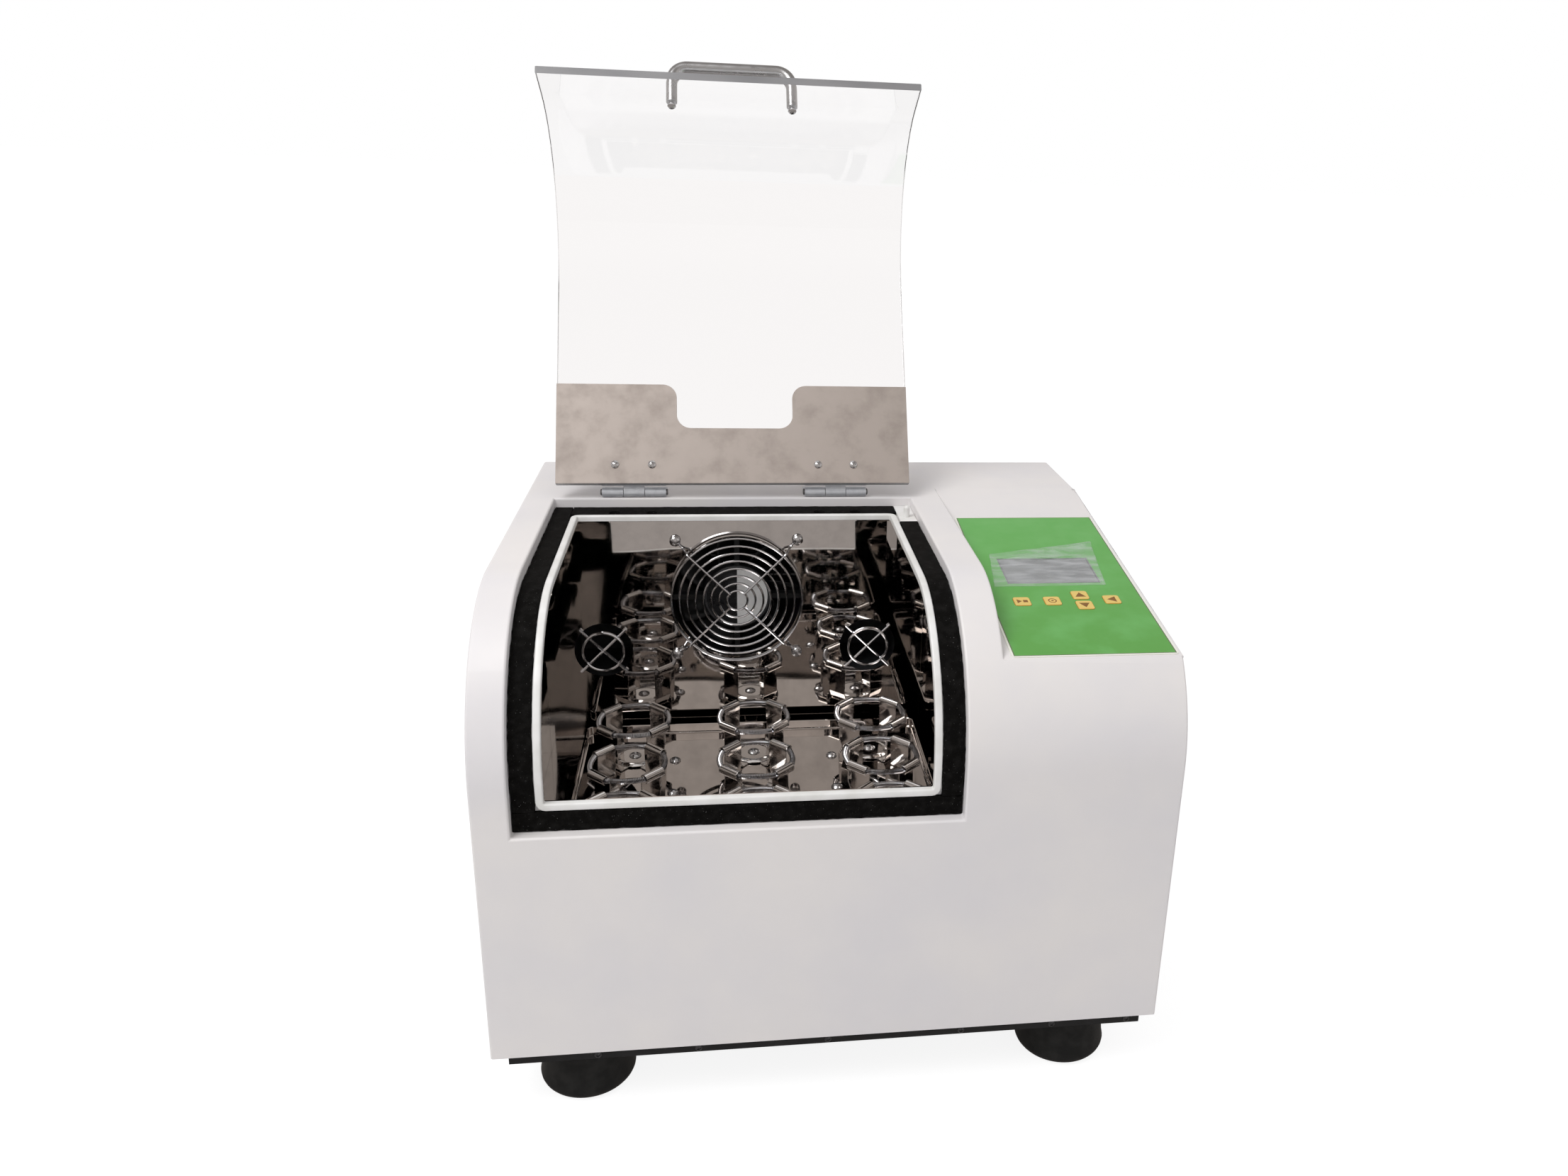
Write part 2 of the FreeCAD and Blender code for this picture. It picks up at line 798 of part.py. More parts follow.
def liner_shape(grown):
    """Inside or outside of the liner: grown is how far it stands outside the chamber's space."""
    inset = chamber_y0 - y_front - grown
    y1 = chamber_y1 + grown
    body = profile_prism(
        inset, chamber_x0 - grown, chamber_x1 + grown, y1, chamber_z0 - grown)
    corner = box(
        corner_x + grown, x_right, corner_y + grown, y_rear, corner_z + grown, z_top)
    return body.cut(corner)


def liner_places(margin):
    """The liner's walls: sides, floor, rear, front, top, and the corner round the lid switch."""
    y0 = y_front
    y1 = y_rear
    ceiling = z_top - (chamber_y0 - y_front)
    return [
        box(x_left, chamber_x0 + margin, y0, y1, 0, z_top),
        box(chamber_x1 - margin, x_right, y0, y1, 0, z_top),
        box(x_left, x_right, y0, y1, 0, chamber_z0 + margin),
        box(x_left, x_right, chamber_y1 - margin, y1, 0, z_top),
        box(x_left, x_right, y0, chamber_y0 + margin, 0, mouth_z0 + margin),
        box(x_left, x_right, shoulder_y - margin, y1, ceiling - margin, z_top),
        box(corner_x, corner_x + liner_sheet + margin, corner_y, y1, corner_z, z_top),
        box(corner_x, x_right, corner_y, corner_y + liner_sheet + margin, corner_z, z_top),
    ]


def guard_screw_places():
    half = fan_screw_pitch / 2
    return [(fan_x + sx * half, fan_z + sz * half) for sx in (-1, 1) for sz in (-1, 1)]


def link_hole_radius():
    return link_radius + crank_floor_gap


def chamber_liner():
    shell = liner_shape(liner_sheet).cut(liner_shape(0))
    mouth = box(
        mouth_x0, mouth_x1, y_front - overrun, mouth_y1, mouth_z0, z_top + overrun)
    cutters = [mouth]
    cutters.append(bar_y(fan_x, chamber_y1 - overrun, fan_y0 + overrun, fan_z, fan_bore_radius))
    for x in vent_centres:
        cutters.append(bar_y(x, chamber_y1 - overrun, fan_y0 + overrun, vent_z, vent_radius))
    for x, z in guard_screw_places():
        cutters.append(bar_y(x, chamber_y1 - overrun, fan_y0 + overrun, z, dome_screw_radius))
    cutters.append(post(
        chamber_mid_x, chamber_mid_y, chamber_z0 - overrun, chamber_z0 + overrun,
        shaft_radius + crank_floor_gap))
    for x, y in link_places:
        cutters.append(post(
            x, y, chamber_z0 - overrun, chamber_z0 + overrun, link_hole_radius()))
    return parted(cut_all(shell, cutters), liner_places)


def opening_trim():
    cap = curved_frame(trim_top_depth, recess_depth, trim_width, 0)
    skirt = curved_frame(recess_depth, recess_depth + sheet, trim_skirt, 0)
    return fuse_all([cap, skirt])


def lid_gasket():
    """Four foam strips on the ledge, with a gap at the lid switch and dents for the screws."""
    x0 = recess_x0 + gasket_gap
    x1 = recess_x1 - gasket_gap
    y1 = recess_y1 - gasket_gap
    z0 = recess_z0 + gasket_gap
    inner_x0 = mouth_x0 - trim_width - gasket_gap
    inner_x1 = mouth_x1 + trim_width + gasket_gap
    inner_y1 = mouth_y1 + trim_width + gasket_gap
    inner_z0 = mouth_z0 - trim_width - gasket_gap
    top = recess_depth - gasket_height
    tile_front = switch_y - 2 * switch_tile_half
    front = profile_band(top, recess_depth, x0, x1, y1, z0)
    front = front.common(box(x0, x1, y_front, shoulder_y, z0, inner_z0))
    left = profile_band(top, recess_depth, x0, inner_x0, y1, inner_z0 + gasket_gap)
    right = profile_band(
        top, recess_depth, inner_x1, x1, tile_front - gasket_gap, inner_z0 + gasket_gap)
    rear = box(
        inner_x0 + gasket_gap, switch_x - switch_tile_half - gasket_gap, inner_y1, y1,
        ledge_z, ledge_z + gasket_height)
    dents = []
    for centre in hinge_centres:
        for side in (-1, 1):
            x = centre + side * hinge_screw_spacing / 2
            dents.append(post(
                x, hinge_screw_y, ledge_z + sheet / 2, z_top,
                lid_screw_head_radius + lid_screw_head_height))
    rear = cut_all(rear, dents)
    return Part.makeCompound([front, left, right, rear])


def insulation():
    """Foam slabs between the liner and the casing."""
    left = box(
        x_left + sheet, chamber_x0 - liner_sheet, chamber_y0, chamber_y1,
        plate_z1, recess_z0 - 2 * sheet)
    right = box(
        chamber_x1 + liner_sheet, ramp_x0 - 2 * sheet, chamber_y0, chamber_y1,
        chamber_z0, recess_z0 - 2 * sheet)
    front = box(
        x_left + sheet, ramp_x0 - 2 * sheet, y_front + sheet, chamber_y0 - liner_sheet,
        plate_z1, recess_z0 - 2 * sheet)
    floor = box(
        chamber_x0, chamber_x1, chamber_y0, chamber_y1, plate_z1 + flange_thickness,
        chamber_z0 - liner_sheet)
    holes = [post(
        chamber_mid_x, chamber_mid_y, z_edge, chamber_z0, main_housing_radius + sheet)]
    holes += [post(x, y, z_edge, chamber_z0, link_housing_radius + sheet) for x, y in link_places]
    return Part.makeCompound([left, right, front, cut_all(floor, holes)])


# Air circulation

def fan_frame():
    half = fan_size / 2
    frame = box(
        fan_x - half, fan_x + half, fan_y0, fan_y0 + fan_depth, fan_z - half, fan_z + half)
    bore = bar_y(fan_x, fan_y0 - overrun, fan_y0 + fan_depth + overrun, fan_z, fan_bore_radius)
    frame = frame.cut(bore)
    boss_y1 = fan_y0 + fan_boss_depth
    boss = bar_y(fan_x, fan_y0, boss_y1, fan_z, fan_hub_radius)
    parts = [frame, boss]
    strut = box(
        fan_x - guard_wire_radius * 2, fan_x + guard_wire_radius * 2, fan_y0, boss_y1, fan_z,
        fan_z + fan_bore_radius + guard_wire_radius)
    for index in range(4):
        arm = strut.copy()
        arm.rotate(V(fan_x, 0, fan_z), AXIS_Y, 90 * index)
        parts.append(arm)
    whole = fuse_all(parts)
    axle_hole = bar_y(
        fan_x, fan_y0 + fan_blade_thickness, boss_y1 + overrun, fan_z,
        fan_axle_radius + running_gap)
    holes = [axle_hole]
    for x, z in guard_screw_places():
        holes.append(bar_y(x, fan_y0 - overrun, fan_y0 + dome_screw_length, z, dome_screw_radius))
    return cut_all(whole, holes)


def fan_rotor():
    """Hub and seven pitched blades, on an axle that runs in the boss of the frame."""
    y0 = fan_y0 + fan_boss_depth + fan_running_gap
    y1 = fan_y0 + fan_depth - fan_blade_thickness
    hub = bar_y(fan_x, y0, y1, fan_z, fan_hub_radius)
    axle_y0 = fan_y0 + fan_blade_thickness + running_gap
    axle = bar_y(fan_x, axle_y0, y0 + overrun, fan_z, fan_axle_radius)
    parts = [hub, axle]
    tip = fan_bore_radius - fan_blade_thickness
    middle = (y0 + y1) / 2
    half_chord = (y1 - y0) / 2 * math.sqrt(2) - fan_blade_thickness
    blade = box(
        fan_x - half_chord, fan_x + half_chord, middle - fan_blade_thickness / 2,
        middle + fan_blade_thickness / 2, fan_z + fan_hub_radius / 2, fan_z + tip)
    blade.rotate(V(fan_x, middle, fan_z), AXIS_Z, 45)
    sweep = bar_y(fan_x, y0, y1, fan_z, tip)
    for index in range(fan_blade_count):
        piece = blade.copy()
        piece.rotate(V(fan_x, middle, fan_z), AXIS_Y, 360 * index / fan_blade_count)
        parts.append(piece.common(sweep))
    return fuse_all(parts)


def fan_guard():
    """Wire rings on four bent cross wires that end in eyes under the corner screws."""
    plane_y = chamber_y1 - guard_standoff
    cross_y = plane_y - 2 * guard_wire_radius + guard_weld_depth
    wall_y = chamber_y1 - guard_wire_radius
    centre = V(fan_x, 0, fan_z)
    pieces = []
    for x, z in guard_screw_places():
        out = V(x, 0, z) - centre
        corner = out.Length
        out.normalize()
        eye_radius = dome_screw_radius + guard_wire_radius + running_gap
        bend = guard_outer_radius + guard_wire_radius
        landing = corner - dome_screw_head_radius - 2 * guard_wire_radius
        leg = bent_rod([
            centre + out * guard_inner_radius + V(0, cross_y, 0),
            centre + out * bend + V(0, cross_y, 0),
            centre + out * landing + V(0, wall_y, 0),
            centre + out * (corner - eye_radius) + V(0, wall_y, 0),
        ], guard_wire_radius, 2 * guard_wire_radius)
        eye = Part.makeTorus(
            eye_radius, guard_wire_radius * guard_eye_wire_share, V(x, wall_y, z), AXIS_Y)
        pieces.append(leg.fuse(eye))
    step = (guard_outer_radius - guard_inner_radius) / (guard_ring_count - 1)
    for index in range(guard_ring_count):
        radius = guard_inner_radius + index * step
        pieces.append(Part.makeTorus(
            radius, guard_wire_radius, V(fan_x, plane_y, fan_z), AXIS_Y))
    return fuse_in_turn(pieces)


def fan_screws():
    return Part.makeCompound([
        screw(
            dome_screw_head_radius, dome_screw_head_height, dome_screw_radius,
            dome_screw_length, V(x, chamber_y1 - 2 * guard_wire_radius, z), -AXIS_Y)
        for x, z in guard_screw_places()
    ])


def vent_guards():
    """A ring on a cross of wires over each round vent, the ends lying on the wall."""
    guards = []
    y = chamber_y1 - vent_wire_radius
    for x in vent_centres:
        ring_y = y - 2 * vent_wire_radius + guard_weld_depth
        pieces = [Part.makeTorus(vent_ring_radius, vent_wire_radius, V(x, ring_y, vent_z), AXIS_Y)]
        for index in range(4):
            angle = math.radians(45 + 90 * index)
            arm = V(math.cos(angle), 0, math.sin(angle))
            pieces.append(Part.makeCylinder(
                vent_wire_radius, vent_arm_radius, V(x, y, vent_z), arm))
        guards.append(fuse_in_turn(pieces))
    return Part.makeCompound(guards)


def air_plenum():
    x0 = fan_x - air_box_half_width
    x1 = fan_x + air_box_half_width
    z0 = fan_z - air_box_below_fan
    z1 = fan_z + air_box_above_fan
    y1 = fan_y0 + air_box_depth
    shell = box(x0, x1, fan_y0, y1, z0, z1)
    return shell.cut(box(
        x0 + air_box_sheet, x1 - air_box_sheet, fan_y0 - overrun, y1 - air_box_sheet,
        z0 + air_box_sheet, z1 - air_box_sheet))


def air_heater():
    """Finned heating bars on a plate at the air box's rear wall, and a sensor rod beside them."""
    wall_y = fan_y0 + air_box_depth - air_box_sheet
    plate = box(
        fan_x - fan_bore_radius, fan_x + fan_bore_radius, wall_y - air_box_sheet, wall_y,
        fan_z - fan_hub_radius, fan_z + fan_hub_radius)
    bar_radius = guard_wire_radius * 3
    bar_place = wall_y - air_box_sheet - bar_radius * 2
    pieces = [plate]
    for level in (-1, 0, 1):
        z = fan_z + level * fan_hub_radius * 2 / 3
        pieces.append(bar_x(
            fan_x - fan_bore_radius, fan_x + fan_bore_radius, bar_place, z, bar_radius))
    fin_count = 14
    for index in range(fin_count):
        x = fan_x - fan_bore_radius + (index + 1) * 2 * fan_bore_radius / (fin_count + 1)
        pieces.append(box(
            x, x + air_box_sheet, bar_place - bar_radius * 2, wall_y,
            fan_z - fan_hub_radius, fan_z + fan_hub_radius))
    heater = fuse_all(pieces)
    sensor = bar_y(
        vent_centres[0], wall_y - fan_depth, wall_y, vent_z + vent_radius, dome_screw_radius)
    return Part.makeCompound([heater, sensor])


# Platform, clamps and drive

def platform():
    x0 = platform_x - platform_width / 2
    x1 = platform_x + platform_width / 2
    y0 = platform_y - platform_depth / 2
    y1 = platform_y + platform_depth / 2
    top = platform_z + platform_lip
    tray = rounded_plate(x0, x1, y0, y1, platform_under, top, platform_corner)
    tray = tray.cut(rounded_plate(
        x0 + platform_sheet, x1 - platform_sheet, y0 + platform_sheet, y1 - platform_sheet,
        platform_z, top + overrun, platform_corner - platform_sheet))
    hub_z0 = platform_under - hub_height
    pieces = [tray, tube(
        platform_x, platform_y, hub_z0, platform_under, main_hub_radius,
        crank_pin_bearing_radius)]
    for x, y in link_places:
        pieces.append(tube(
            x + orbit_radius, y, hub_z0, platform_under, small_hub_radius, link_bearing_radius))
    holes = [post(x, y, platform_under - overrun, platform_z + overrun, dome_screw_radius)
             for x, y in platform_screw_places() + clamp_places()]
    return cut_all(fuse_all(pieces), holes)


def platform_screw_places():
    places = []
    for side in (-1, 1):
        for row in (-1, 0, 1):
            places.append((
                platform_x + side * (clamp_pitch_x - platform_screw_from_clamp),
                platform_y + platform_screw_shift + row * platform_screw_pitch))
    return places


def clamp_places():
    """Front row first, left to right."""
    return [
        (platform_x + column * clamp_pitch_x, clamp_y + row * clamp_pitch_y)
        for row in (-1, 0, 1)
        for column in (-1, 0, 1)
    ]


def platform_bearings():
    z0 = platform_under - hub_height + running_gap
    bearings = [ball_bearing(
        platform_x, platform_y, z0, crank_pin_bearing_width, crank_pin_bearing_radius,
        crank_pin_radius + running_gap)]
    for x, y in link_places:
        bearings.append(ball_bearing(
            x + orbit_radius, y, z0, link_bearing_width, link_bearing_radius,
            link_radius + open_pivot_gap))
    return Part.makeCompound(bearings)


def platform_screws():
    """Dome screws of the platform and the cross-head screws that hold the clamps."""
    screws = []
    for x, y in platform_screw_places():
        screws.append(screw(
            dome_screw_head_radius, dome_screw_head_height, dome_screw_radius,
            platform_sheet + platform_screw_tail, V(x, y, platform_z), AXIS_Z))
    for x, y in clamp_places():
        screws.append(screw(
            clamp_screw_head_radius, clamp_screw_head_height, dome_screw_radius,
            clamp_dish_rise + platform_sheet + platform_screw_tail,
            V(x, y, platform_z + clamp_dish_rise), AXIS_Z))
    return Part.makeCompound(screws)


def clamp_leg():
    """One leg in its own plane: it leaves the dish, rises and curls outwards over the spring."""
    curl_inner = clamp_spring_radius + clamp_curl_gap
    curl_outer = curl_inner + clamp_sheet
    neck = clamp_ring_flat - curl_outer
    start = clamp_dish_radius / 2
    outline = [
        (start, 0),
        (clamp_base_reach, 0),
        (clamp_base_reach + clamp_sheet, clamp_bulge_height),
        (neck + clamp_sheet, clamp_ring_height),
        (neck, clamp_ring_height),
        (clamp_base_reach, clamp_bulge_height),
        (clamp_base_reach - clamp_sheet, clamp_sheet),
        (start, clamp_sheet),
    ]
    corners = [V(r, -clamp_leg_half_width, z) for r, z in outline]
    leg = Part.Face(Part.makePolygon(corners + corners[:1]))
    leg = leg.extrude(V(0, 2 * clamp_leg_half_width, 0))
    centre = V(clamp_ring_flat, -clamp_leg_half_width, clamp_ring_height)
    curl = Part.makeCylinder(curl_outer, 2 * clamp_leg_half_width, centre, AXIS_Y)
    curl = curl.cut(Part.makeCylinder(
        curl_inner, 4 * clamp_leg_half_width, centre - V(0, clamp_leg_half_width, 0), AXIS_Y))
    mouth = Part.makeBox(
        curl_outer, 4 * clamp_leg_half_width, curl_outer,
        centre + V(-curl_outer, -clamp_leg_half_width, -curl_outer))
    return [leg, curl.cut(mouth)]


def flask_clamp(x, y):
    """One stamped piece: a raised dish and four legs on the diagonals."""
    dish = Part.makeCone(
        clamp_dish_radius, clamp_dish_radius - clamp_dish_rise, clamp_dish_rise, ORIGIN, AXIS_Z)
    under = Part.makeCone(
        clamp_dish_radius - clamp_sheet, clamp_dish_radius - clamp_dish_rise - clamp_sheet,
        clamp_dish_rise, V(0, 0, -clamp_sheet), AXIS_Z)
    pieces = [dish]
    for index in range(4):
        for shape in clamp_leg():
            shape.rotate(ORIGIN, AXIS_Z, 45 + 90 * index)
            pieces.append(shape)
    whole = fuse_all(pieces).cut(under)
    whole = whole.cut(Part.makeCylinder(dome_screw_radius, 2 * overrun, ORIGIN, AXIS_Z))
    whole.translate(V(x, y, platform_z))
    return whole


def clamp_spring(x, y):
    """Close-wound ring spring as a smooth tube: eight straight runs with rounded corners."""
    flat = clamp_ring_flat
    half = clamp_leg_half_width
    turn_each = math.radians(45)
    setback = clamp_spring_flat * math.sqrt(2) - flat - half
    bend = setback / math.tan(turn_each / 2)
    start = V(flat, -half, 0)
    corner = [V(flat, half, 0)]
    for share in (1 / 2, 1):
        angle = share * turn_each
        corner.append(V(
            flat - bend + bend * math.cos(angle), half + bend * math.sin(angle), 0))
    mirrored = [V(point.y, point.x, 0) for point in reversed(corner)]
    edges = []
    for index in range(4):
        turn = FreeCAD.Rotation(AXIS_Z, 45 + 90 * index)
        first = [turn.multVec(point) for point in corner]
        second = [turn.multVec(point) for point in mirrored]
        edges.append(Part.LineSegment(turn.multVec(start), first[0]).toShape())
        edges.append(Part.Arc(*first).toShape())
        edges.append(Part.LineSegment(first[-1], second[0]).toShape())
        edges.append(Part.Arc(*second).toShape())
    path = Part.Wire(Part.__sortEdges__(edges))
    start = path.Edges[0]
    place = start.valueAt(start.FirstParameter)
    along = start.tangentAt(start.FirstParameter)
    ring = Part.Wire(Part.makeCircle(clamp_spring_radius, place, along))
    solid = path.makePipeShell([ring], True, True)
    solid.translate(V(x, y, ring_z))
    return solid


def crank_shaft():
    """Vertical shaft with its disc, the eccentric pin and the counterweight."""
    x = chamber_mid_x
    y = chamber_mid_y
    shaft = post(x, y, pulley_z0 - shaft_end_drop, crank_z1, shaft_radius - running_gap)
    disc = post(x, y, crank_z0, crank_z1, crank_disc_radius)
    pin_top = platform_under - hub_height + running_gap + crank_pin_bearing_width
    pin = post(x + orbit_radius, y, crank_z0, pin_top, crank_pin_radius)
    weight = Part.makeCylinder(
        counterweight_radius, crank_disc_thickness, V(x, y, crank_z0), AXIS_Z,
        2 * counterweight_half_angle)
    weight.rotate(V(x, y, 0), AXIS_Z, 180 - counterweight_half_angle)
    return fuse_all([shaft, disc, pin, weight])


def grooved_pulley(x, y, radius, bore):
    body = post(x, y, pulley_z0, pulley_z1, radius)
    low = post(x, y, pulley_z0, pulley_z0 + pulley_flange, radius + pulley_rim)
    high = post(x, y, pulley_z1 - pulley_flange, pulley_z1, radius + pulley_rim)
    return fuse_all([body, low, high]).cut(post(
        x, y, pulley_z0 - overrun, pulley_z1 + overrun, bore))


def main_pulley():
    return grooved_pulley(
        chamber_mid_x, chamber_mid_y, pulley_radius, shaft_radius - running_gap)


def motor_pulley():
    pulley = grooved_pulley(
        motor_x, chamber_mid_y, motor_pulley_radius, motor_shaft_radius)
    shaft = post(
        motor_x, chamber_mid_y, pulley_z0 - shaft_end_drop, plate_z1 + motor_shaft_grip,
        motor_shaft_radius)
    return Part.makeCompound([pulley, shaft])


def belt_loop(extra, z0, z1):
    """Solid outline of the belt round both pulleys, standing off them by extra."""
    big = pulley_radius + extra
    small = motor_pulley_radius + extra
    distance = motor_x - chamber_mid_x
    lean = math.acos((big - small) / distance)
    points = []
    for radius, centre in ((big, chamber_mid_x), (small, motor_x)):
        for side in (1, -1):
            points.append(V(
                centre + radius * math.cos(lean), chamber_mid_y + side * radius * math.sin(lean),
                z0))
    quad = [points[0], points[2], points[3], points[1], points[0]]
    middle = Part.Face(Part.makePolygon(quad)).extrude(V(0, 0, z1 - z0))
    return fuse_all([
        middle, post(chamber_mid_x, chamber_mid_y, z0, z1, big),
        post(motor_x, chamber_mid_y, z0, z1, small)])


def drive_belt():
    z0 = pulley_z0 + pulley_flange + belt_gap
    z1 = pulley_z1 - pulley_flange - belt_gap
    outer = belt_loop(belt_gap + belt_thickness, z0, z1)
    return outer.cut(belt_loop(belt_gap, z0 - overrun, z1 + overrun))


def crank_link(x, y):
    """Small crank that keeps the platform from turning."""
    top = platform_under - hub_height + running_gap + link_bearing_width
    arm_z1 = crank_z0 + crank_disc_thickness - running_gap
    pieces = [
        post(x, y, plate_z1, crank_z0, link_radius),
        post(x, y, crank_z0, arm_z1, link_arm_radius),
        post(x + orbit_radius, y, crank_z0, arm_z1, link_arm_radius),
        box(x, x + orbit_radius, y - link_arm_radius, y + link_arm_radius, crank_z0, arm_z1),
        post(x + orbit_radius, y, arm_z1, top, link_radius),
    ]
    return fuse_all(pieces)


def bearing_housings():
    housings = []
    x = chamber_mid_x
    y = chamber_mid_y
    body = fuse_all([
        post(x, y, housing_z0, housing_z1, main_housing_radius),
        post(x, y, plate_z1, plate_z1 + flange_thickness, main_flange_radius),
    ])
    lip = sheet
    body = body.cut(post(x, y, housing_z0 + lip, housing_z1 - lip, main_bearing_radius))
    body = body.cut(post(
        x, y, housing_z0 - overrun, housing_z1 + overrun, shaft_radius + 2 * lip))
    housings.append(body)
    for x, y in link_places:
        body = fuse_all([
            post(x, y, plate_z1, housing_z1, link_housing_radius),
            post(x, y, plate_z1, plate_z1 + drive_plate_thickness, link_flange_radius),
        ])
        body = body.cut(post(x, y, plate_z1 + lip, housing_z1 - lip, link_bearing_radius))
        body = body.cut(post(
            x, y, plate_z1 - overrun, housing_z1 + overrun, link_radius + lip))
        housings.append(body)
    return Part.makeCompound(housings)


def crank_bearings():
    lip = sheet
    bearings = []
    for z0 in (housing_z0 + lip, housing_z1 - lip - main_bearing_width):
        bearings.append(ball_bearing(
            chamber_mid_x, chamber_mid_y, z0, main_bearing_width, main_bearing_radius,
            shaft_radius))
    for x, y in link_places:
        for z0 in (plate_z1 + lip, housing_z1 - lip - link_bearing_width):
            bearings.append(ball_bearing(
                x, y, z0, link_bearing_width, link_bearing_radius, link_radius + running_gap))
    return Part.makeCompound(bearings)


def drive_frame():
    """Plate under the chamber on six legs, carrying the bearing housings and the motor."""
    x0 = x_left + drive_plate_left
    x1 = x_right - drive_plate_right
    y0 = chamber_mid_y - drive_plate_half_depth
    y1 = chamber_mid_y + drive_plate_half_depth
    pieces = [box(x0, x1, y0, y1, plate_z0, plate_z1)]
    for x in (x0 + drive_leg_inset, (x0 + x1) / 2, x1 - drive_leg_inset):
        for y in (y0 + drive_leg_inset, y1 - drive_leg_inset):
            pieces.append(post(x, y, tray_z0 + tray_sheet, plate_z0, drive_leg_radius))
    frame = fuse_all(pieces)
    holes = [
        post(chamber_mid_x, chamber_mid_y, plate_z0 - overrun, plate_z1 + overrun,
             main_housing_radius),
        post(motor_x, chamber_mid_y, plate_z0 - overrun, plate_z1 + overrun, motor_hole_radius),
    ]
    holes += [
        post(x, y, plate_z0 - overrun, plate_z1 + overrun, link_radius + sheet)
        for x, y in link_places
    ]
    return cut_all(frame, holes)


def motor():
    body = post(motor_x, chamber_mid_y, plate_z1, plate_z1 + motor_height, motor_radius)
    rib_count = 24
    groove = bar_x(
        motor_x + motor_radius - sheet, motor_x + motor_radius + overrun, chamber_mid_y,
        plate_z1 + motor_height / 2, sheet)
    slot = box(
        motor_x + motor_radius - sheet, motor_x + motor_radius + overrun,
        chamber_mid_y - sheet, chamber_mid_y + sheet,
        plate_z1 + motor_height / 4, plate_z1 + motor_height * 3 / 4)
    slots = []
    for index in range(rib_count):
        cutter = slot.fuse(groove) if index % 2 else slot.copy()
        cutter.rotate(V(motor_x, chamber_mid_y, 0), AXIS_Z, 360 * index / rib_count)
        slots.append(cutter)
    bore = post(
        motor_x, chamber_mid_y, plate_z1 - overrun, plate_z1 + motor_shaft_grip + sheet,
        motor_shaft_radius + running_gap)
    return cut_all(body, slots + [bore])


# Controls, switch and power

def control_label():
    label = on_ramp(ramp_plate(
        label_left, label_right, label_top, label_bottom, 0, label_thickness, label_corner))
    cutters = [display_hole(-overrun, overrun, display_gap)]
    cutters += [key_hole(name, -overrun, overrun, key_gap) for name in key_places]
    return cut_all(label, cutters)


def lcd_display():
    """Glass window with its black frame behind the overlay."""
    low = -display_thickness
    return on_ramp(ramp_plate(
        display_left, display_right, display_top, display_bottom, low,
        label_thickness - display_below_label, display_gap))


def membrane_key(name):
    across, down = key_places[name]
    top = label_thickness + key_proud
    return on_ramp(ramp_plate(
        across - key_width / 2, across + key_width / 2, down - key_length / 2,
        down + key_length / 2, top - key_depth, top, key_corner))


def control_board():
    """Circuit board on four studs under the ramp, with its tall parts below it."""
    top = -sheet - board_below
    board = ramp_plate(
        board_left, board_right, board_top, board_bottom, top - board_thickness, top,
        board_thickness)
    pieces = [board]
    for across in (board_left + board_stud_inset, board_right - board_stud_inset):
        for down in (board_top + board_stud_inset, board_bottom - board_stud_inset):
            pieces.append(post(ramp_x0 + across, -down, top, -sheet, board_stud_radius))
    part_shares = ((0.15, 0.2, 0.2), (0.5, 0.3, 0.3), (0.7, 0.7, 0.15), (0.25, 0.65, 0.25))
    width = board_right - board_left
    length = board_bottom - board_top
    for across_share, down_share, size_share in part_shares:
        x0 = ramp_x0 + board_left + across_share * width
        y1 = -board_top - down_share * length
        low = top - board_thickness - board_part_height
        pieces.append(box(
            x0, x0 + size_share * width, y1 - size_share * width, y1, low,
            top - board_thickness))
    display_back = -display_thickness
    pieces.append(ramp_plate(
        display_left + key_width, display_right - key_width, display_top + key_length,
        display_bottom - key_length, top, display_back, display_gap))
    return on_ramp(fuse_all(pieces))


def power_supply():
    x0 = ramp_x0 + supply_left
    x1 = ramp_x0 + supply_right
    y0 = chamber_mid_y + drive_plate_half_depth + supply_from_drive
    y1 = y_rear - supply_from_rear
    z0 = tray_z0 + tray_sheet
    case = rounded_plate(x0, x1, y0, y1, z0, z0 + supply_height, sheet)
    slots = []
    slot_count = 8
    for index in range(slot_count):
        y = y0 + (index + 1) * (y1 - y0) / (slot_count + 1)
        slots.append(box(
            x0 + inlet_width, x1 - inlet_width, y, y + sheet, z0 + supply_height - sheet,
            z0 + supply_height + overrun))
    return cut_all(case, slots)


def socket_centre_z():
    return inlet_z - inlet_length / 2 + inlet_flange + socket_length / 2


def rocker_centre_z():
    return inlet_z + inlet_length / 2 - inlet_flange - rocker_length / 2


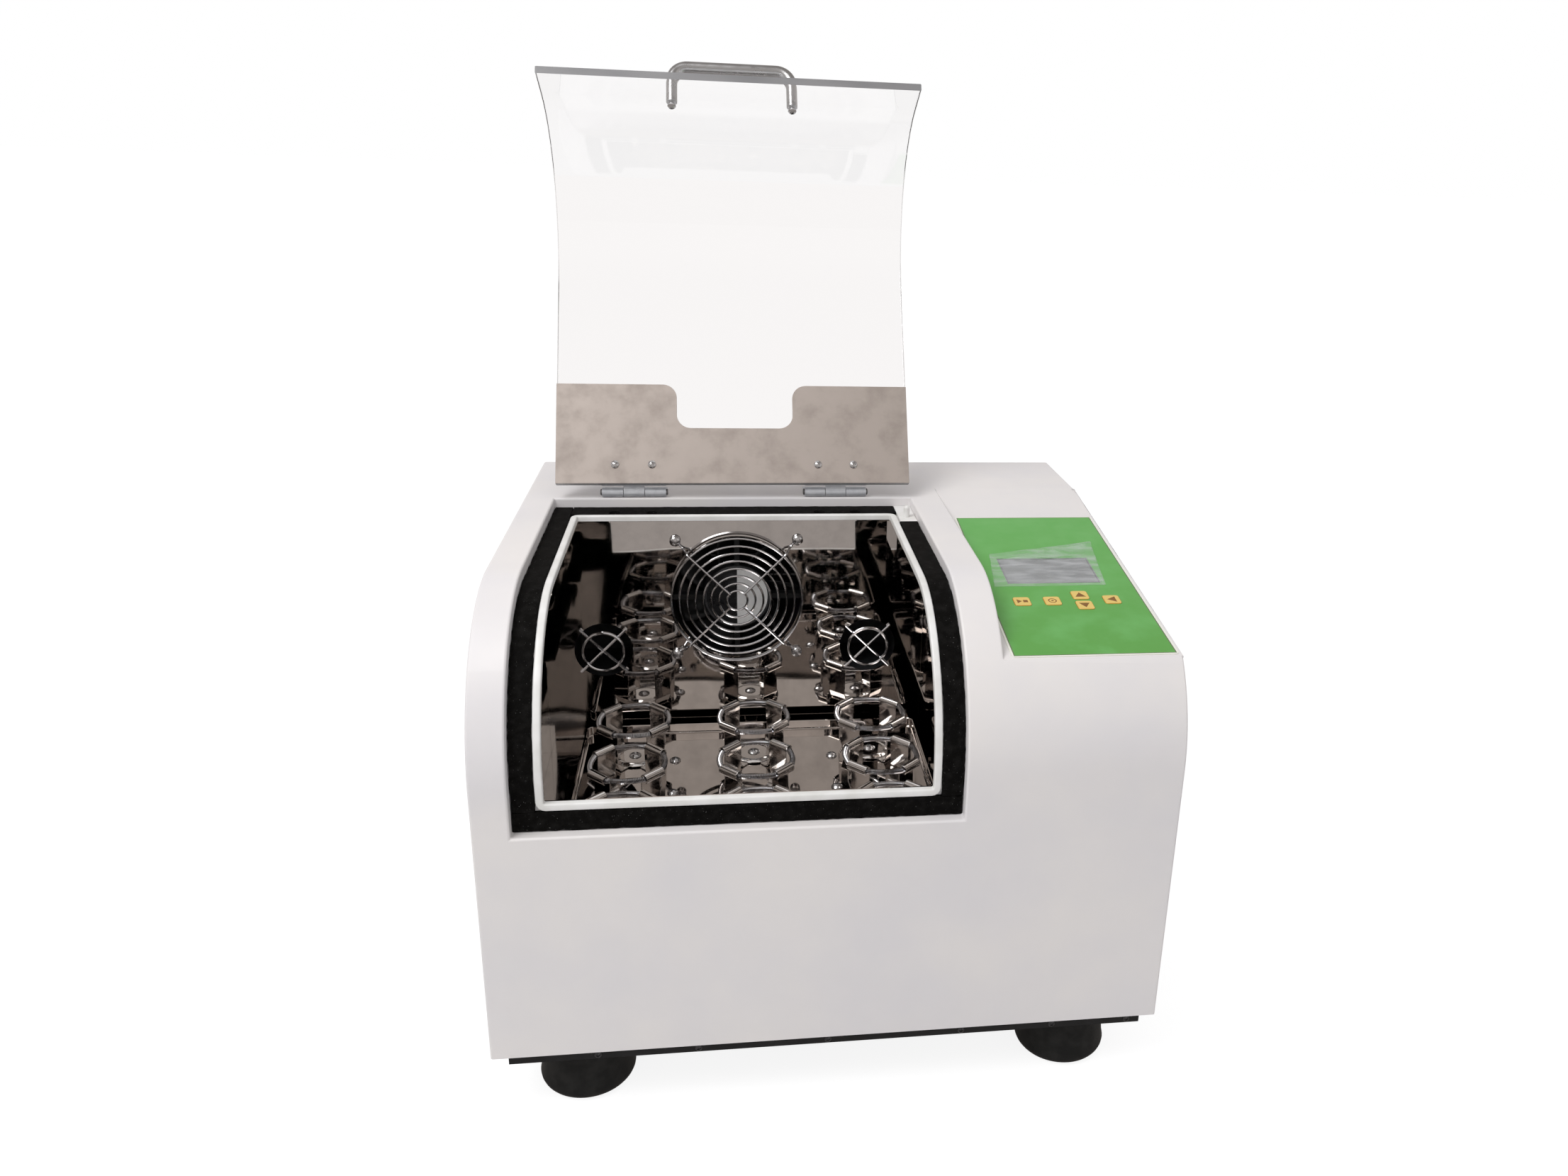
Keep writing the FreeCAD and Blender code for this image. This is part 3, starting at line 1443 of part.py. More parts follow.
def power_inlet():
    """Inlet socket and switch bezel in one moulded body clipped into the rear panel."""
    half_w = inlet_width / 2
    half_l = inlet_length / 2
    body = box(
        inlet_x - half_w + panel_gap, inlet_x + half_w - panel_gap, panel_y1 - inlet_body_depth,
        panel_y1, inlet_z - half_l + panel_gap, inlet_z + half_l - panel_gap)
    flange = box(
        inlet_x - half_w - inlet_flange, inlet_x + half_w + inlet_flange, panel_y1,
        panel_y1 + inlet_flange_thickness, inlet_z - half_l - inlet_flange,
        inlet_z + half_l + inlet_flange)
    face = panel_y1 + inlet_flange_thickness
    whole = body.fuse(flange).removeSplitter()
    z = socket_centre_z()
    socket = box(
        inlet_x - socket_width / 2, inlet_x + socket_width / 2, face - socket_depth,
        face + overrun, z - socket_length / 2, z + socket_length / 2)
    pivot = rocker_pivot()
    half_well = rocker_length / 2 + rocker_gap
    well = box(
        inlet_x - rocker_width / 2 - rocker_gap, inlet_x + rocker_width / 2 + rocker_gap,
        pivot.y - half_well, face + overrun, pivot.z - half_well, pivot.z + half_well)
    pin_reach = rocker_width / 2 + rocker_gap + rocker_pin_length + running_gap
    pin_holes = bar_x(
        inlet_x - pin_reach, inlet_x + pin_reach, pivot.y, pivot.z,
        rocker_pin_radius + running_gap)
    whole = cut_all(whole, [socket, well, pin_holes])
    pins = []
    for column in (-1, 0, 1):
        rise = 0 if column else socket_pin_radius * 2
        pins.append(bar_y(
            inlet_x + column * socket_pin_pitch, face - socket_depth - sheet,
            face - socket_depth + socket_pin_length, socket_centre_z() + rise - socket_pin_radius,
            socket_pin_radius))
    return fuse_all([whole] + pins)


def rocker_pivot():
    face = panel_y1 + inlet_flange_thickness
    return V(inlet_x, face - rocker_setback, rocker_centre_z())


def power_rocker():
    """Rocker cap: a round-backed paddle, resting tipped to its off side."""
    pivot = rocker_pivot()
    half = rocker_length / 2 - rocker_gap
    drum = bar_x(
        inlet_x - rocker_width / 2, inlet_x + rocker_width / 2, pivot.y, pivot.z, half)
    front = pivot.y + rocker_setback - rocker_dish
    drum = drum.common(box(
        inlet_x - rocker_width / 2, inlet_x + rocker_width / 2, pivot.y - half, front,
        pivot.z - half, pivot.z + half))
    drum.rotate(pivot, AXIS_X, rocker_tilt / 2)
    pin_reach = rocker_width / 2 + rocker_gap + rocker_pin_length
    pins = bar_x(inlet_x - pin_reach, inlet_x + pin_reach, pivot.y, pivot.z, rocker_pin_radius)
    return fuse_all([drum, pins])


def lid_switch_body():
    """White tile on the ledge with the barrel of the switch below it."""
    x1 = recess_x1 - gasket_gap
    x0 = switch_x - switch_tile_half
    y0 = switch_y - 2 * switch_tile_half
    tile = box(x0, x1, y0, recess_y1 - gasket_gap, ledge_z, ledge_z + gasket_height)
    barrel = post(
        switch_x, switch_y, ledge_z - switch_barrel_depth, ledge_z, switch_barrel_radius)
    bore = post(
        switch_x, switch_y, ledge_z - switch_barrel_depth + sheet, z_top,
        switch_plunger_radius + running_gap)
    return fuse_all([tile, barrel]).cut(bore)


def lid_switch_plunger():
    """White pin with a round tip that the closing lid pushes down."""
    top = ledge_z + gasket_height + switch_plunger_rise
    low = ledge_z - switch_barrel_depth + sheet + switch_travel + hinge_gap
    pin = post(switch_x, switch_y, low, top - switch_plunger_radius, switch_plunger_radius)
    tip = Part.makeSphere(switch_plunger_radius, V(switch_x, switch_y, top - switch_plunger_radius))
    return fuse_all([pin, tip])


# Lid

def lid_panel():
    panel = profile_band(0, lid_thickness, lid_x0, lid_x1, lid_y1, lid_z0)
    holes = []
    for x, y in lid_screw_places():
        holes.append(post(
            x, y, z_top - lid_thickness - overrun, z_top + overrun, lid_screw_radius))
    for side in (-1, 1):
        holes.append(handle_cylinder(side, -2 * lid_thickness, overrun, lid_screw_radius))
    return opened(cut_all(panel, holes))


def lid_screw_places():
    return [
        (centre + side * hinge_screw_spacing / 2, hinge_screw_y)
        for centre in hinge_centres
        for side in (-1, 1)
    ]


def lid_bracket():
    """Satin plate on the lid's inner face along the hinge, with a wide round-cornered notch."""
    z1 = z_top - lid_thickness
    z0 = z1 - bracket_thickness
    y0 = hinge_y - bracket_reach
    notch_y1 = y0 + bracket_notch_depth
    half = bracket_notch_width / 2
    radius = bracket_notch_radius
    x_mid = lid_centre_x
    turn = radius * (1 - math.sqrt(2) / 2)

    def arc(start, middle, end):
        return Part.Arc(*[V(x, y, z0) for x, y in (start, middle, end)]).toShape()

    def line(start, end):
        return Part.LineSegment(*[V(x, y, z0) for x, y in (start, end)]).toShape()

    def half_outline(side, edge_x):
        outer = x_mid + side * half
        return [
            line((edge_x, lid_y1), (edge_x, y0)),
            line((edge_x, y0), (outer + side * radius, y0)),
            arc((outer + side * radius, y0), (outer + side * turn, y0 + turn),
                (outer, y0 + radius)),
            line((outer, y0 + radius), (outer, notch_y1 - radius)),
            arc((outer, notch_y1 - radius), (outer - side * turn, notch_y1 - turn),
                (outer - side * radius, notch_y1)),
        ]

    edges = half_outline(-1, lid_x0)
    edges.append(line((x_mid - half + radius, notch_y1), (x_mid + half - radius, notch_y1)))
    edges += half_outline(1, lid_x1)
    edges.append(line((lid_x0, lid_y1), (lid_x1, lid_y1)))
    outline = Part.Wire(Part.__sortEdges__(edges))
    plate = Part.Face(outline).extrude(V(0, 0, bracket_thickness))
    holes = [post(x, y, z0 - overrun, z1 + overrun, lid_screw_radius)
             for x, y in lid_screw_places()]
    return opened(cut_all(plate, holes))


def hinge_half(centre, is_lid):
    """One leaf with its knuckles, drawn closed: the lid leaf has the middle knuckle."""
    x0 = centre - hinge_length / 2
    x1 = centre + hinge_length / 2
    side = -1 if is_lid else 1
    z0 = z_top
    z1 = z_top + hinge_leaf_thickness
    near = hinge_y + side * hinge_leaf_notch
    far = hinge_y + side * hinge_leaf_reach
    pieces = [box(x0, x1, min(near, far), max(near, far), z0, z1)]
    middle = (centre - knuckle_length / 2, centre + knuckle_length / 2)
    if is_lid:
        spans = [middle]
    else:
        spans = [(x0, middle[0] - hinge_gap), (middle[1] + hinge_gap, x1)]
    for a, b in spans:
        pieces.append(bar_x(a, b, hinge_y, hinge_z, hinge_barrel_radius))
        pieces.append(box(a, b, min(hinge_y, near), max(hinge_y, near), z0, z1))
    half = fuse_all(pieces)
    bore = hinge_pin_radius + (running_gap if is_lid else 0)
    return half.cut(bar_x(x0 - overrun, x1 + overrun, hinge_y, hinge_z, bore))


def hinge_casing_leaves():
    return Part.makeCompound([hinge_half(centre, False) for centre in hinge_centres])


def hinge_lid_leaves():
    leaves = []
    for centre in hinge_centres:
        leaf = hinge_half(centre, True)
        holes = []
        for side in (-1, 1):
            x = centre + side * hinge_screw_spacing / 2
            holes.append(post(
                x, hinge_screw_y, z_top - overrun, z_top + overrun, lid_screw_radius))
        leaves.append(opened(cut_all(leaf, holes)))
    return Part.makeCompound(leaves)


def hinge_pins():
    """Each pin stands out a little at both ends of its barrel, under a round head."""
    pins = []
    for centre in hinge_centres:
        x0 = centre - hinge_length / 2 - hinge_leaf_thickness
        x1 = centre + hinge_length / 2 + hinge_leaf_thickness
        shaft = bar_x(x0, x1, hinge_y, hinge_z, hinge_pin_radius)
        heads = [
            bar_x(x0, x0 + hinge_leaf_thickness, hinge_y, hinge_z, hinge_pin_radius + hinge_gap * 2),
            bar_x(x1 - hinge_leaf_thickness, x1, hinge_y, hinge_z,
                  hinge_pin_radius + hinge_gap * 2),
        ]
        pins.append(fuse_all([shaft] + heads))
    return Part.makeCompound(pins)


def handle_frame():
    """Point on the closed lid's outer face under the handle, and the face's outward normal."""
    angle = math.asin(handle_above_shoulder / shoulder_radius)
    normal = V(0, -math.cos(angle), math.sin(angle))
    centre = V(lid_centre_x, shoulder_y, z_shoulder)
    return centre + normal * shoulder_radius, normal


def handle_cylinder(side, low, high, radius):
    """Round bar square to the lid at one end of the handle, between two heights above it."""
    foot, normal = handle_frame()
    start = foot + V(side * handle_spacing / 2, 0, 0) + normal * low
    return Part.makeCylinder(radius, high - low, start, normal)


def lid_handle():
    foot, normal = handle_frame()
    left = foot - V(handle_spacing / 2, 0, 0)
    right = foot + V(handle_spacing / 2, 0, 0)
    rise = normal * handle_standoff
    rod = bent_rod([left, left + rise, right + rise, right], handle_rod_radius, handle_bend_radius)
    holes = [
        handle_cylinder(side, -overrun, handle_screw_grip, lid_screw_radius) for side in (-1, 1)
    ]
    return opened(cut_all(rod, holes))


def lid_screws():
    """Four screws through plate, panel and hinge leaf, and two that hold the handle."""
    screws = []
    under = z_top - lid_thickness - bracket_thickness
    length = lid_thickness + bracket_thickness + hinge_leaf_thickness
    for x, y in lid_screw_places():
        screws.append(opened(screw(
            lid_screw_head_radius, lid_screw_head_height, lid_screw_radius, length,
            V(x, y, under), -AXIS_Z)))
    foot, normal = handle_frame()
    for side in (-1, 1):
        place = foot + V(side * handle_spacing / 2, 0, 0)
        place = place - normal * (lid_thickness + running_gap * 2)
        screws.append(opened(screw(
            handle_screw_head_radius, handle_screw_head_height, lid_screw_radius,
            lid_thickness + handle_screw_grip, place, normal * -1)))
    return Part.makeCompound(screws)


def all_pieces():
    pieces = {
        "outer_casing": outer_casing,
        "rear_panel": rear_panel,
        "body_screws": body_screws,
        "base_tray": base_tray,
        "rubber_feet": rubber_feet,
        "chamber_liner": chamber_liner,
        "opening_trim": opening_trim,
        "lid_gasket": lid_gasket,
        "insulation": insulation,
        "fan_frame": fan_frame,
        "fan_rotor": fan_rotor,
        "fan_guard": fan_guard,
        "fan_screws": fan_screws,
        "vent_guards": vent_guards,
        "air_plenum": air_plenum,
        "air_heater": air_heater,
        "platform": platform,
        "platform_bearings": platform_bearings,
        "platform_screws": platform_screws,
        "crank_shaft": crank_shaft,
        "main_pulley": main_pulley,
        "motor_pulley": motor_pulley,
        "drive_belt": drive_belt,
        "bearing_housings": bearing_housings,
        "crank_bearings": crank_bearings,
        "drive_frame": drive_frame,
        "motor": motor,
        "control_label": control_label,
        "lcd_display": lcd_display,
        "control_board": control_board,
        "power_supply": power_supply,
        "power_inlet": power_inlet,
        "power_rocker": power_rocker,
        "lid_switch_body": lid_switch_body,
        "lid_switch_plunger": lid_switch_plunger,
        "lid_panel": lid_panel,
        "lid_bracket": lid_bracket,
        "lid_screws": lid_screws,
        "lid_handle": lid_handle,
        "hinge_lid_leaves": hinge_lid_leaves,
        "hinge_casing_leaves": hinge_casing_leaves,
        "hinge_pins": hinge_pins,
    }
    for number, place in enumerate(link_places, 1):
        pieces["crank_link_%d" % number] = lambda place=place: crank_link(*place)
    for name in key_places:
        pieces[name] = lambda name=name: membrane_key(name)
    for number, place in enumerate(clamp_places(), 1):
        pieces["flask_clamp_%d" % number] = lambda place=place: flask_clamp(*place)
    pieces["clamp_springs"] = lambda: Part.makeCompound([
        clamp_spring(x, y) for x, y in clamp_places()])
    return pieces


os.makedirs("parts", exist_ok=True)
for name, make in all_pieces().items():
    shape = make()
    shape.exportStep("parts/%s.step" % name)
    print("%-22s solids %2d  volume %12.1f  valid %s" % (
        name, len(shape.Solids), shape.Volume, shape.isValid()))
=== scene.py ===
# %% Start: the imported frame
import bpy
import bmesh
import math
import random
from mathutils import Matrix, Vector, geometry


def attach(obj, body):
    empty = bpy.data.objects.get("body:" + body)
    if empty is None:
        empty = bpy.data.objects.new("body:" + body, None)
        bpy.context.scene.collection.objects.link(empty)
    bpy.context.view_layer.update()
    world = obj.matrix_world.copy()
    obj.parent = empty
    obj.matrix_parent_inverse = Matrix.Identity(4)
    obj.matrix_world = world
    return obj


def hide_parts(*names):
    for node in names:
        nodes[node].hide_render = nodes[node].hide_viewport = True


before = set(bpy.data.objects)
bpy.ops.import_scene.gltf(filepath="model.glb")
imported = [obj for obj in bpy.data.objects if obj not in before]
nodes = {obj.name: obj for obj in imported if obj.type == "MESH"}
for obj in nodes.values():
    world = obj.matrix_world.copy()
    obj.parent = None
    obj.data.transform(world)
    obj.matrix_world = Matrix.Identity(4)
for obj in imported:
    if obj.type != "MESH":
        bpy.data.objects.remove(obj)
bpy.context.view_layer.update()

# %% [markdown]
# The real object is a benchtop shaker: a white folded casing, a bent clear lid that stands open,
# a mirror chamber and a platform with nine sprung flask clamps. All lengths below are written in
# millimetres, as on a maker's drawing, and each mesh is scaled to metres once, when it is made.

# %% Main sizes of the real object
MM = 0.001
half_width = 245.0
y_front, y_rear = -212.5, 212.5
z_edge, z_shoulder = 50.0, 260.0
shoulder_radius = 117.0
z_top = z_shoulder + shoulder_radius
shoulder_y = y_front + shoulder_radius
sheet = 1.5
recess_x = (-220.0, 87.0)
recess_depth = 11.0
mouth_x = (-198.5, 65.5)
ramp_x = 114.5
ramp_low = (-184.5, 336.0)
ramp_top = (115.5, 377.0)
hinge_y, hinge_z = 90.0, 381.3
lid_angle = 118.87
hinge_x = (-153.3, 20.3)
lid_screw_offset, lid_screw_y = 15.5, 68.5
fan_x, fan_z = -66.5, 292.5
platform_centre = (-54.0, -66.5)
platform_z = 170.0

# %% [markdown]
# The camera stands where the photographer stood. Its place was solved from the straight edges of
# the casing, so it is given as a yaw, a pitch and a small roll, with the lens as a focal length in
# pixels of the full picture.

# %% Camera
picture = (2212, 1659)
focal_pixels = 1714.0949
optical_centre = (1274.7391, 799.1207)
yaw, pitch, roll = (math.radians(a) for a in (8.8933, 18.9187, 2.2419))
ahead = Vector((
    math.sin(yaw) * math.cos(pitch), math.cos(yaw) * math.cos(pitch), -math.sin(pitch)))
level = Vector((math.cos(yaw), -math.sin(yaw), 0))
upright = level.cross(ahead)
right = level * math.cos(roll) + upright * math.sin(roll)
up = upright * math.cos(roll) - level * math.sin(roll)
camera_data = bpy.data.cameras.new("camera")
camera = bpy.data.objects.new("camera", camera_data)
bpy.context.scene.collection.objects.link(camera)
turn = Matrix((right, up, -ahead)).transposed().to_4x4()
camera.matrix_world = Matrix.Translation((-0.0776282, -0.9430773, 0.6689329)) @ turn
camera_data.sensor_width = 36
camera_data.lens = focal_pixels / picture[0] * camera_data.sensor_width
camera_data.shift_x = (picture[0] / 2 - optical_centre[0]) / picture[0]
camera_data.shift_y = (optical_centre[1] - picture[1] / 2) / picture[0]
camera_data.clip_start = 0.02
bpy.context.scene.camera = camera
bpy.context.scene.view_settings.view_transform = "Standard"
print("lens", round(camera_data.lens, 2), "mm")

# %% [markdown]
# Finishes are made of nodes. Writing each node by hand hides the idea behind the wiring, so a
# small class wraps a socket and lets an ordinary expression such as `1 - mask * 0.3` add the
# Math nodes. Everything else goes through one method, `node`.

# %% Sockets that can be used in sums
class Val:
    """One output socket of a node."""

    def __init__(self, nodes_of, socket):
        self.nodes_of = nodes_of
        self.socket = socket

    def math(self, operation, *others):
        inputs = dict(enumerate((self,) + others))
        return self.nodes_of.node("ShaderNodeMath", {"operation": operation}, inputs)

    def __add__(self, other):
        return self.math("ADD", other)

    def __sub__(self, other):
        return self.math("SUBTRACT", other)

    def __rsub__(self, other):
        return self.nodes_of.node(
            "ShaderNodeMath", {"operation": "SUBTRACT"}, {0: other, 1: self})

    def __mul__(self, other):
        return self.math("MULTIPLY", other)

    def __truediv__(self, other):
        return self.math("DIVIDE", other)

    def __pow__(self, other):
        return self.math("POWER", other)

    def __gt__(self, other):
        return self.math("GREATER_THAN", other)

    def __lt__(self, other):
        return self.math("LESS_THAN", other)

    def __abs__(self):
        return self.math("ABSOLUTE")

    __radd__ = __add__
    __rmul__ = __mul__


class Nodes:
    """A node tree that is built by calling node()."""

    def __init__(self, tree):
        self.tree = tree

    def node(self, kind, settings=None, inputs=None, output=0):
        made = self.tree.nodes.new(kind)
        for key, value in (settings or {}).items():
            if key == "stops":
                set_stops(made.color_ramp, value)
            else:
                setattr(made, key, value)
        for key, value in (inputs or {}).items():
            self.feed(made.inputs[key], value)
        return Val(self, made.outputs[output])

    def feed(self, socket, value):
        if isinstance(value, Val):
            self.tree.links.new(value.socket, socket)
        else:
            socket.default_value = value


def set_stops(ramp, stops):
    while len(ramp.elements) < len(stops):
        ramp.elements.new(0.5)
    for element, (position, colour) in zip(ramp.elements, stops):
        element.position = position
        element.color = colour


def paint(red, green, blue):
    """A colour as it shows on a screen, 0 to 255, turned into linear light."""
    def linear(value):
        value /= 255
        return value / 12.92 if value <= 0.04045 else ((value + 0.055) / 1.055) ** 2.4
    return (linear(red), linear(green), linear(blue), 1.0)


print("white paint", [round(v, 3) for v in paint(232, 229, 226)])

# %% [markdown]
# A finish is one material round a Principled shader. It has short names for what every finish
# here needs: a place on the piece, some noise at a real size in millimetres, a mix of two
# colours, and a bump.

# %% Finishes
class Finish(Nodes):
    def __init__(self, name, colour, **sockets):
        self.material = bpy.data.materials.new(name)
        self.material.use_nodes = True
        super().__init__(self.material.node_tree)
        self.shader = self.tree.nodes["Principled BSDF"]
        self.shader.inputs["Base Color"].default_value = colour
        self.colour = colour
        self.set(**sockets)

    def set(self, **sockets):
        for key, value in sockets.items():
            self.feed(self.shader.inputs[key.replace("_", " ")], value)
        return self

    def place(self, stretch=(1, 1, 1)):
        """Where a point lies on the piece, in metres, stretched along its axes."""
        spot = self.node("ShaderNodeTexCoord", output="Object")
        if stretch == (1, 1, 1):
            return spot
        return self.node(
            "ShaderNodeVectorMath", {"operation": "MULTIPLY"}, {0: spot, 1: stretch})

    def axes(self):
        spot = self.node("ShaderNodeTexCoord", output="Object")
        return [
            self.node("ShaderNodeSeparateXYZ", inputs={0: spot}, output=axis)
            for axis in range(3)
        ]

    def noise(self, grain_mm, detail=2.0, rough=0.5, stretch=(1, 1, 1)):
        """Cloudy noise whose lumps are about grain_mm across."""
        return self.node(
            "ShaderNodeTexNoise", inputs={
                "Vector": self.place(stretch), "Scale": 1 / (grain_mm * MM), "Detail": detail,
                "Roughness": rough}, output="Fac")

    def ramp(self, value, *stops):
        grey = [(position, (level, level, level, 1)) for position, level in stops]
        return self.node("ShaderNodeValToRGB", {"stops": grey}, {"Fac": value})

    def mix(self, first, second, mask):
        return self.node(
            "ShaderNodeMix", {"data_type": "RGBA"}, {0: mask, 6: first, 7: second}, output=2)

    def bump(self, height, depth_mm, strength=1.0):
        normal = self.node("ShaderNodeBump", inputs={
            "Strength": strength, "Distance": depth_mm * MM, "Height": height})
        return self.set(Normal=normal)

    def mottled(self, other, grain_mm, **noise):
        """The base colour drifting towards another one in soft patches."""
        mask = self.ramp(self.noise(grain_mm, **noise), (0.35, 0), (0.65, 1))
        return self.set(Base_Color=self.mix(self.colour, other, mask))

    def rubbed(self, low, high, grain_mm, **noise):
        """Roughness that drifts between two values, as handled metal and plastic does."""
        drift = self.ramp(self.noise(grain_mm, **noise), (0.3, low), (0.7, high))
        return self.set(Roughness=drift)


# %% [markdown]
# The casing's paint is powder coat. Up close it has a fine orange-peel surface, because the
# powder melts into small mounds, and its white drifts a little between warm and grey.

# %% Paints
powder = Finish("white_powder_coat", paint(232, 228, 226), Roughness=0.42, IOR=1.5)
powder.mottled(paint(226, 223, 224), 90, detail=3)
powder.rubbed(0.36, 0.5, 35)
powder.bump(powder.noise(1.1, detail=3) + powder.noise(5, detail=1) * 0.6, 0.05, 0.5)

black_paint = Finish("black_satin_paint", paint(22, 23, 24), Roughness=0.4)
black_paint.set(Specular_IOR_Level=0.3)
black_paint.mottled(paint(30, 30, 31), 20)
black_paint.rubbed(0.34, 0.5, 9)
black_paint.bump(black_paint.noise(0.8), 0.03, 0.5)

# %% [markdown]
# The chamber, platform and clamps are polished stainless steel. A thin polished sheet is never
# quite flat, so a very slow bump bends the reflections, and a faint streaky wiping pattern
# varies how sharp they are.

# %% Polished and satin steels
def steel(name, colour, rough, wave_mm, wave_depth, smudge):
    made = Finish(name, colour, Metallic=1.0, Roughness=rough)
    wipe = made.noise(14, detail=4, rough=0.6, stretch=(1, 0.35, 1))
    made.set(Roughness=made.ramp(wipe, (0.35, rough), (0.75, rough + smudge)))
    dull = tuple(0.86 * c for c in colour[:3]) + (1,)
    made.set(Base_Color=made.mix(colour, dull, made.ramp(wipe, (0.4, 0), (0.8, 1))))
    made.bump(made.noise(wave_mm, detail=1), wave_depth, 1.0)
    return made


mirror = steel("mirror_sheet", paint(205, 201, 198), 0.02, 110, 0.7, 0.02)
tray_mirror = steel("mirror_tray", paint(212, 206, 202), 0.02, 70, 0.16, 0.025)
clamp_steel = steel("mirror_clamp", paint(214, 210, 207), 0.06, 14, 0.04, 0.06)
wire = steel("bright_plated_wire", paint(205, 205, 208), 0.1, 6, 0.01, 0.1)
screw_steel = steel("plated_screw", paint(196, 195, 196), 0.16, 2, 0.01, 0.12)
bearing_steel = steel("ground_bearing_steel", paint(190, 190, 194), 0.14, 8, 0.005, 0.1)

black_zinc = Finish("black_zinc_screw", paint(62, 62, 64), Metallic=0.8, Roughness=0.38)
black_zinc.mottled(paint(84, 84, 86), 1.5)

satin = Finish("satin_steel", paint(188, 179, 173), Metallic=0.9, Roughness=0.5)
lines = satin.noise(0.35, detail=2, stretch=(0.02, 1, 1))
hands = satin.noise(22, detail=4, rough=0.62)
satin.set(Roughness=satin.ramp(hands, (0.35, 0.62), (0.68, 0.7)))
satin.set(Base_Color=satin.mix(
    satin.colour, paint(176, 167, 161), satin.ramp(hands, (0.45, 0), (0.75, 1))))
satin.bump(lines, 0.012, 0.6)

handle_steel = Finish("handle_steel", paint(176, 176, 177), Metallic=1.0, Roughness=0.27)
handle_steel.rubbed(0.22, 0.38, 10, detail=3)
handle_steel.bump(handle_steel.noise(0.3, stretch=(0.05, 1, 1)), 0.008, 0.6)

hinge_grey = Finish("hinge_casting", paint(214, 216, 220), Metallic=0.3, Roughness=0.45)
hinge_grey.mottled(paint(200, 202, 207), 7, detail=3)
hinge_grey.rubbed(0.44, 0.6, 4)
hinge_grey.bump(hinge_grey.noise(0.5, detail=3), 0.03, 0.6)
print("steels made")

# %% [markdown]
# Moulded plastics, rubber and foam. Cut foam rubber shows its cells as small pits and catches
# pale dust, and rubber feet are matt with a bloom that is a little greyer than the black.

# %% Plastics, rubber and foam
white_plastic = Finish("white_moulding", paint(236, 235, 233), Roughness=0.3, IOR=1.5)
white_plastic.mottled(paint(224, 223, 219), 18)
white_plastic.bump(white_plastic.noise(1.5), 0.02, 0.4)

black_plastic = Finish("black_moulding", paint(16, 16, 17), Roughness=0.42)
black_plastic.set(Specular_IOR_Level=0.3)
black_plastic.mottled(paint(24, 24, 25), 12, detail=3)
black_plastic.bump(black_plastic.noise(0.6), 0.03, 0.5)

rubber = Finish("foot_rubber", paint(18, 19, 19), Roughness=0.62, Specular_IOR_Level=0.25)
rubber.mottled(paint(32, 32, 31), 9, detail=4)
rubber.bump(rubber.noise(0.7, detail=3), 0.05, 0.6)

foam = Finish("cut_foam", paint(10, 9, 8), Roughness=0.85)
cells = foam.node("ShaderNodeTexVoronoi", inputs={
    "Vector": foam.place(), "Scale": 1 / (0.9 * MM)}, output="Distance")
dust = foam.noise(0.8, detail=1) > 0.77
foam.set(Base_Color=foam.mix(
    foam.mix(foam.colour, paint(22, 21, 20), foam.ramp(foam.noise(6, detail=3), (0.45, 0), (0.7, 1))),
    paint(150, 150, 148), dust * 0.55))
foam.bump(cells, 0.25, 0.8)
foam.set(Specular_IOR_Level=0.08)

belt = Finish("ribbed_belt", paint(26, 26, 27), Roughness=0.6)
belt.mottled(paint(46, 46, 47), 4)
belt.bump(belt.node("ShaderNodeTexWave", {"bands_direction": "Z"}, {
    "Vector": belt.place(), "Scale": 120.0, "Distortion": 0.0}), 0.3, 0.8)

slab = Finish("insulation_slab", paint(222, 214, 196), Roughness=0.95)
slab.mottled(paint(196, 186, 166), 6, detail=4)
slab.bump(slab.noise(1.2, detail=4), 0.6, 0.9)

# %% [markdown]
# Metals that only show from behind, below or through the chamber's holes: galvanised sheet has
# flat crystals a few millimetres across, and cast or turned metal has a fine directional grain.

# %% Inner metals and the circuit board
zinc = Finish("galvanised_sheet", paint(178, 181, 184), Metallic=0.8, Roughness=0.45)
crystal = zinc.node("ShaderNodeTexVoronoi", inputs={
    "Vector": zinc.place(), "Scale": 1 / (7 * MM)}, output="Color")
facet = zinc.node("ShaderNodeSeparateColor", inputs={0: crystal})
zinc.set(Base_Color=zinc.mix(paint(186, 189, 192), paint(150, 154, 158), facet))
zinc.set(Roughness=facet * 0.2 + 0.32)

# The air box is galvanised sheet. Its dark grey finish is painted shade, standing for the dark inside
# of the duct seen through the chamber's holes.
plenum_shade = Finish("plenum_painted_shade", paint(40, 41, 42), Roughness=0.6)
plenum_shade.mottled(paint(54, 55, 57), 7, detail=2)

cast = Finish("cast_aluminium", paint(176, 177, 178), Metallic=0.9, Roughness=0.45)
cast.mottled(paint(150, 151, 153), 5, detail=4)
cast.bump(cast.noise(0.7, detail=3), 0.04, 0.6)

turned = Finish("machined_steel", paint(128, 128, 130), Metallic=1.0, Roughness=0.34)
turned.mottled(paint(104, 103, 103), 8, detail=3)
turned.bump(turned.noise(0.25, stretch=(0.1, 1, 1)), 0.012, 0.6)

board = Finish("circuit_board", paint(24, 92, 48), Roughness=0.4)
tracks = board.noise(3, detail=0, stretch=(1, 0.15, 1)) > 0.52
board.set(Base_Color=board.mix(board.colour, paint(34, 120, 64), tracks))
board.bump(tracks, 0.04, 0.5)

# %% [markdown]
# Acrylic is clear with an index of 1.49. Its faces are left fully transmitting, so that they bend
# and reflect light by the real thickness of the sheet. Its cut edges have a finish of their own,
# grey and a little rough, because a sawn edge scatters light.

# %% Clear sheet
acrylic_edge = Finish("acrylic_edge", paint(138, 137, 138), Roughness=0.35, IOR=1.49)
acrylic_edge.mottled(paint(120, 120, 122), 25, detail=2, stretch=(0.3, 1, 1))
acrylic_edge.bump(acrylic_edge.noise(0.6, stretch=(0.1, 1, 1)), 0.02, 0.5)

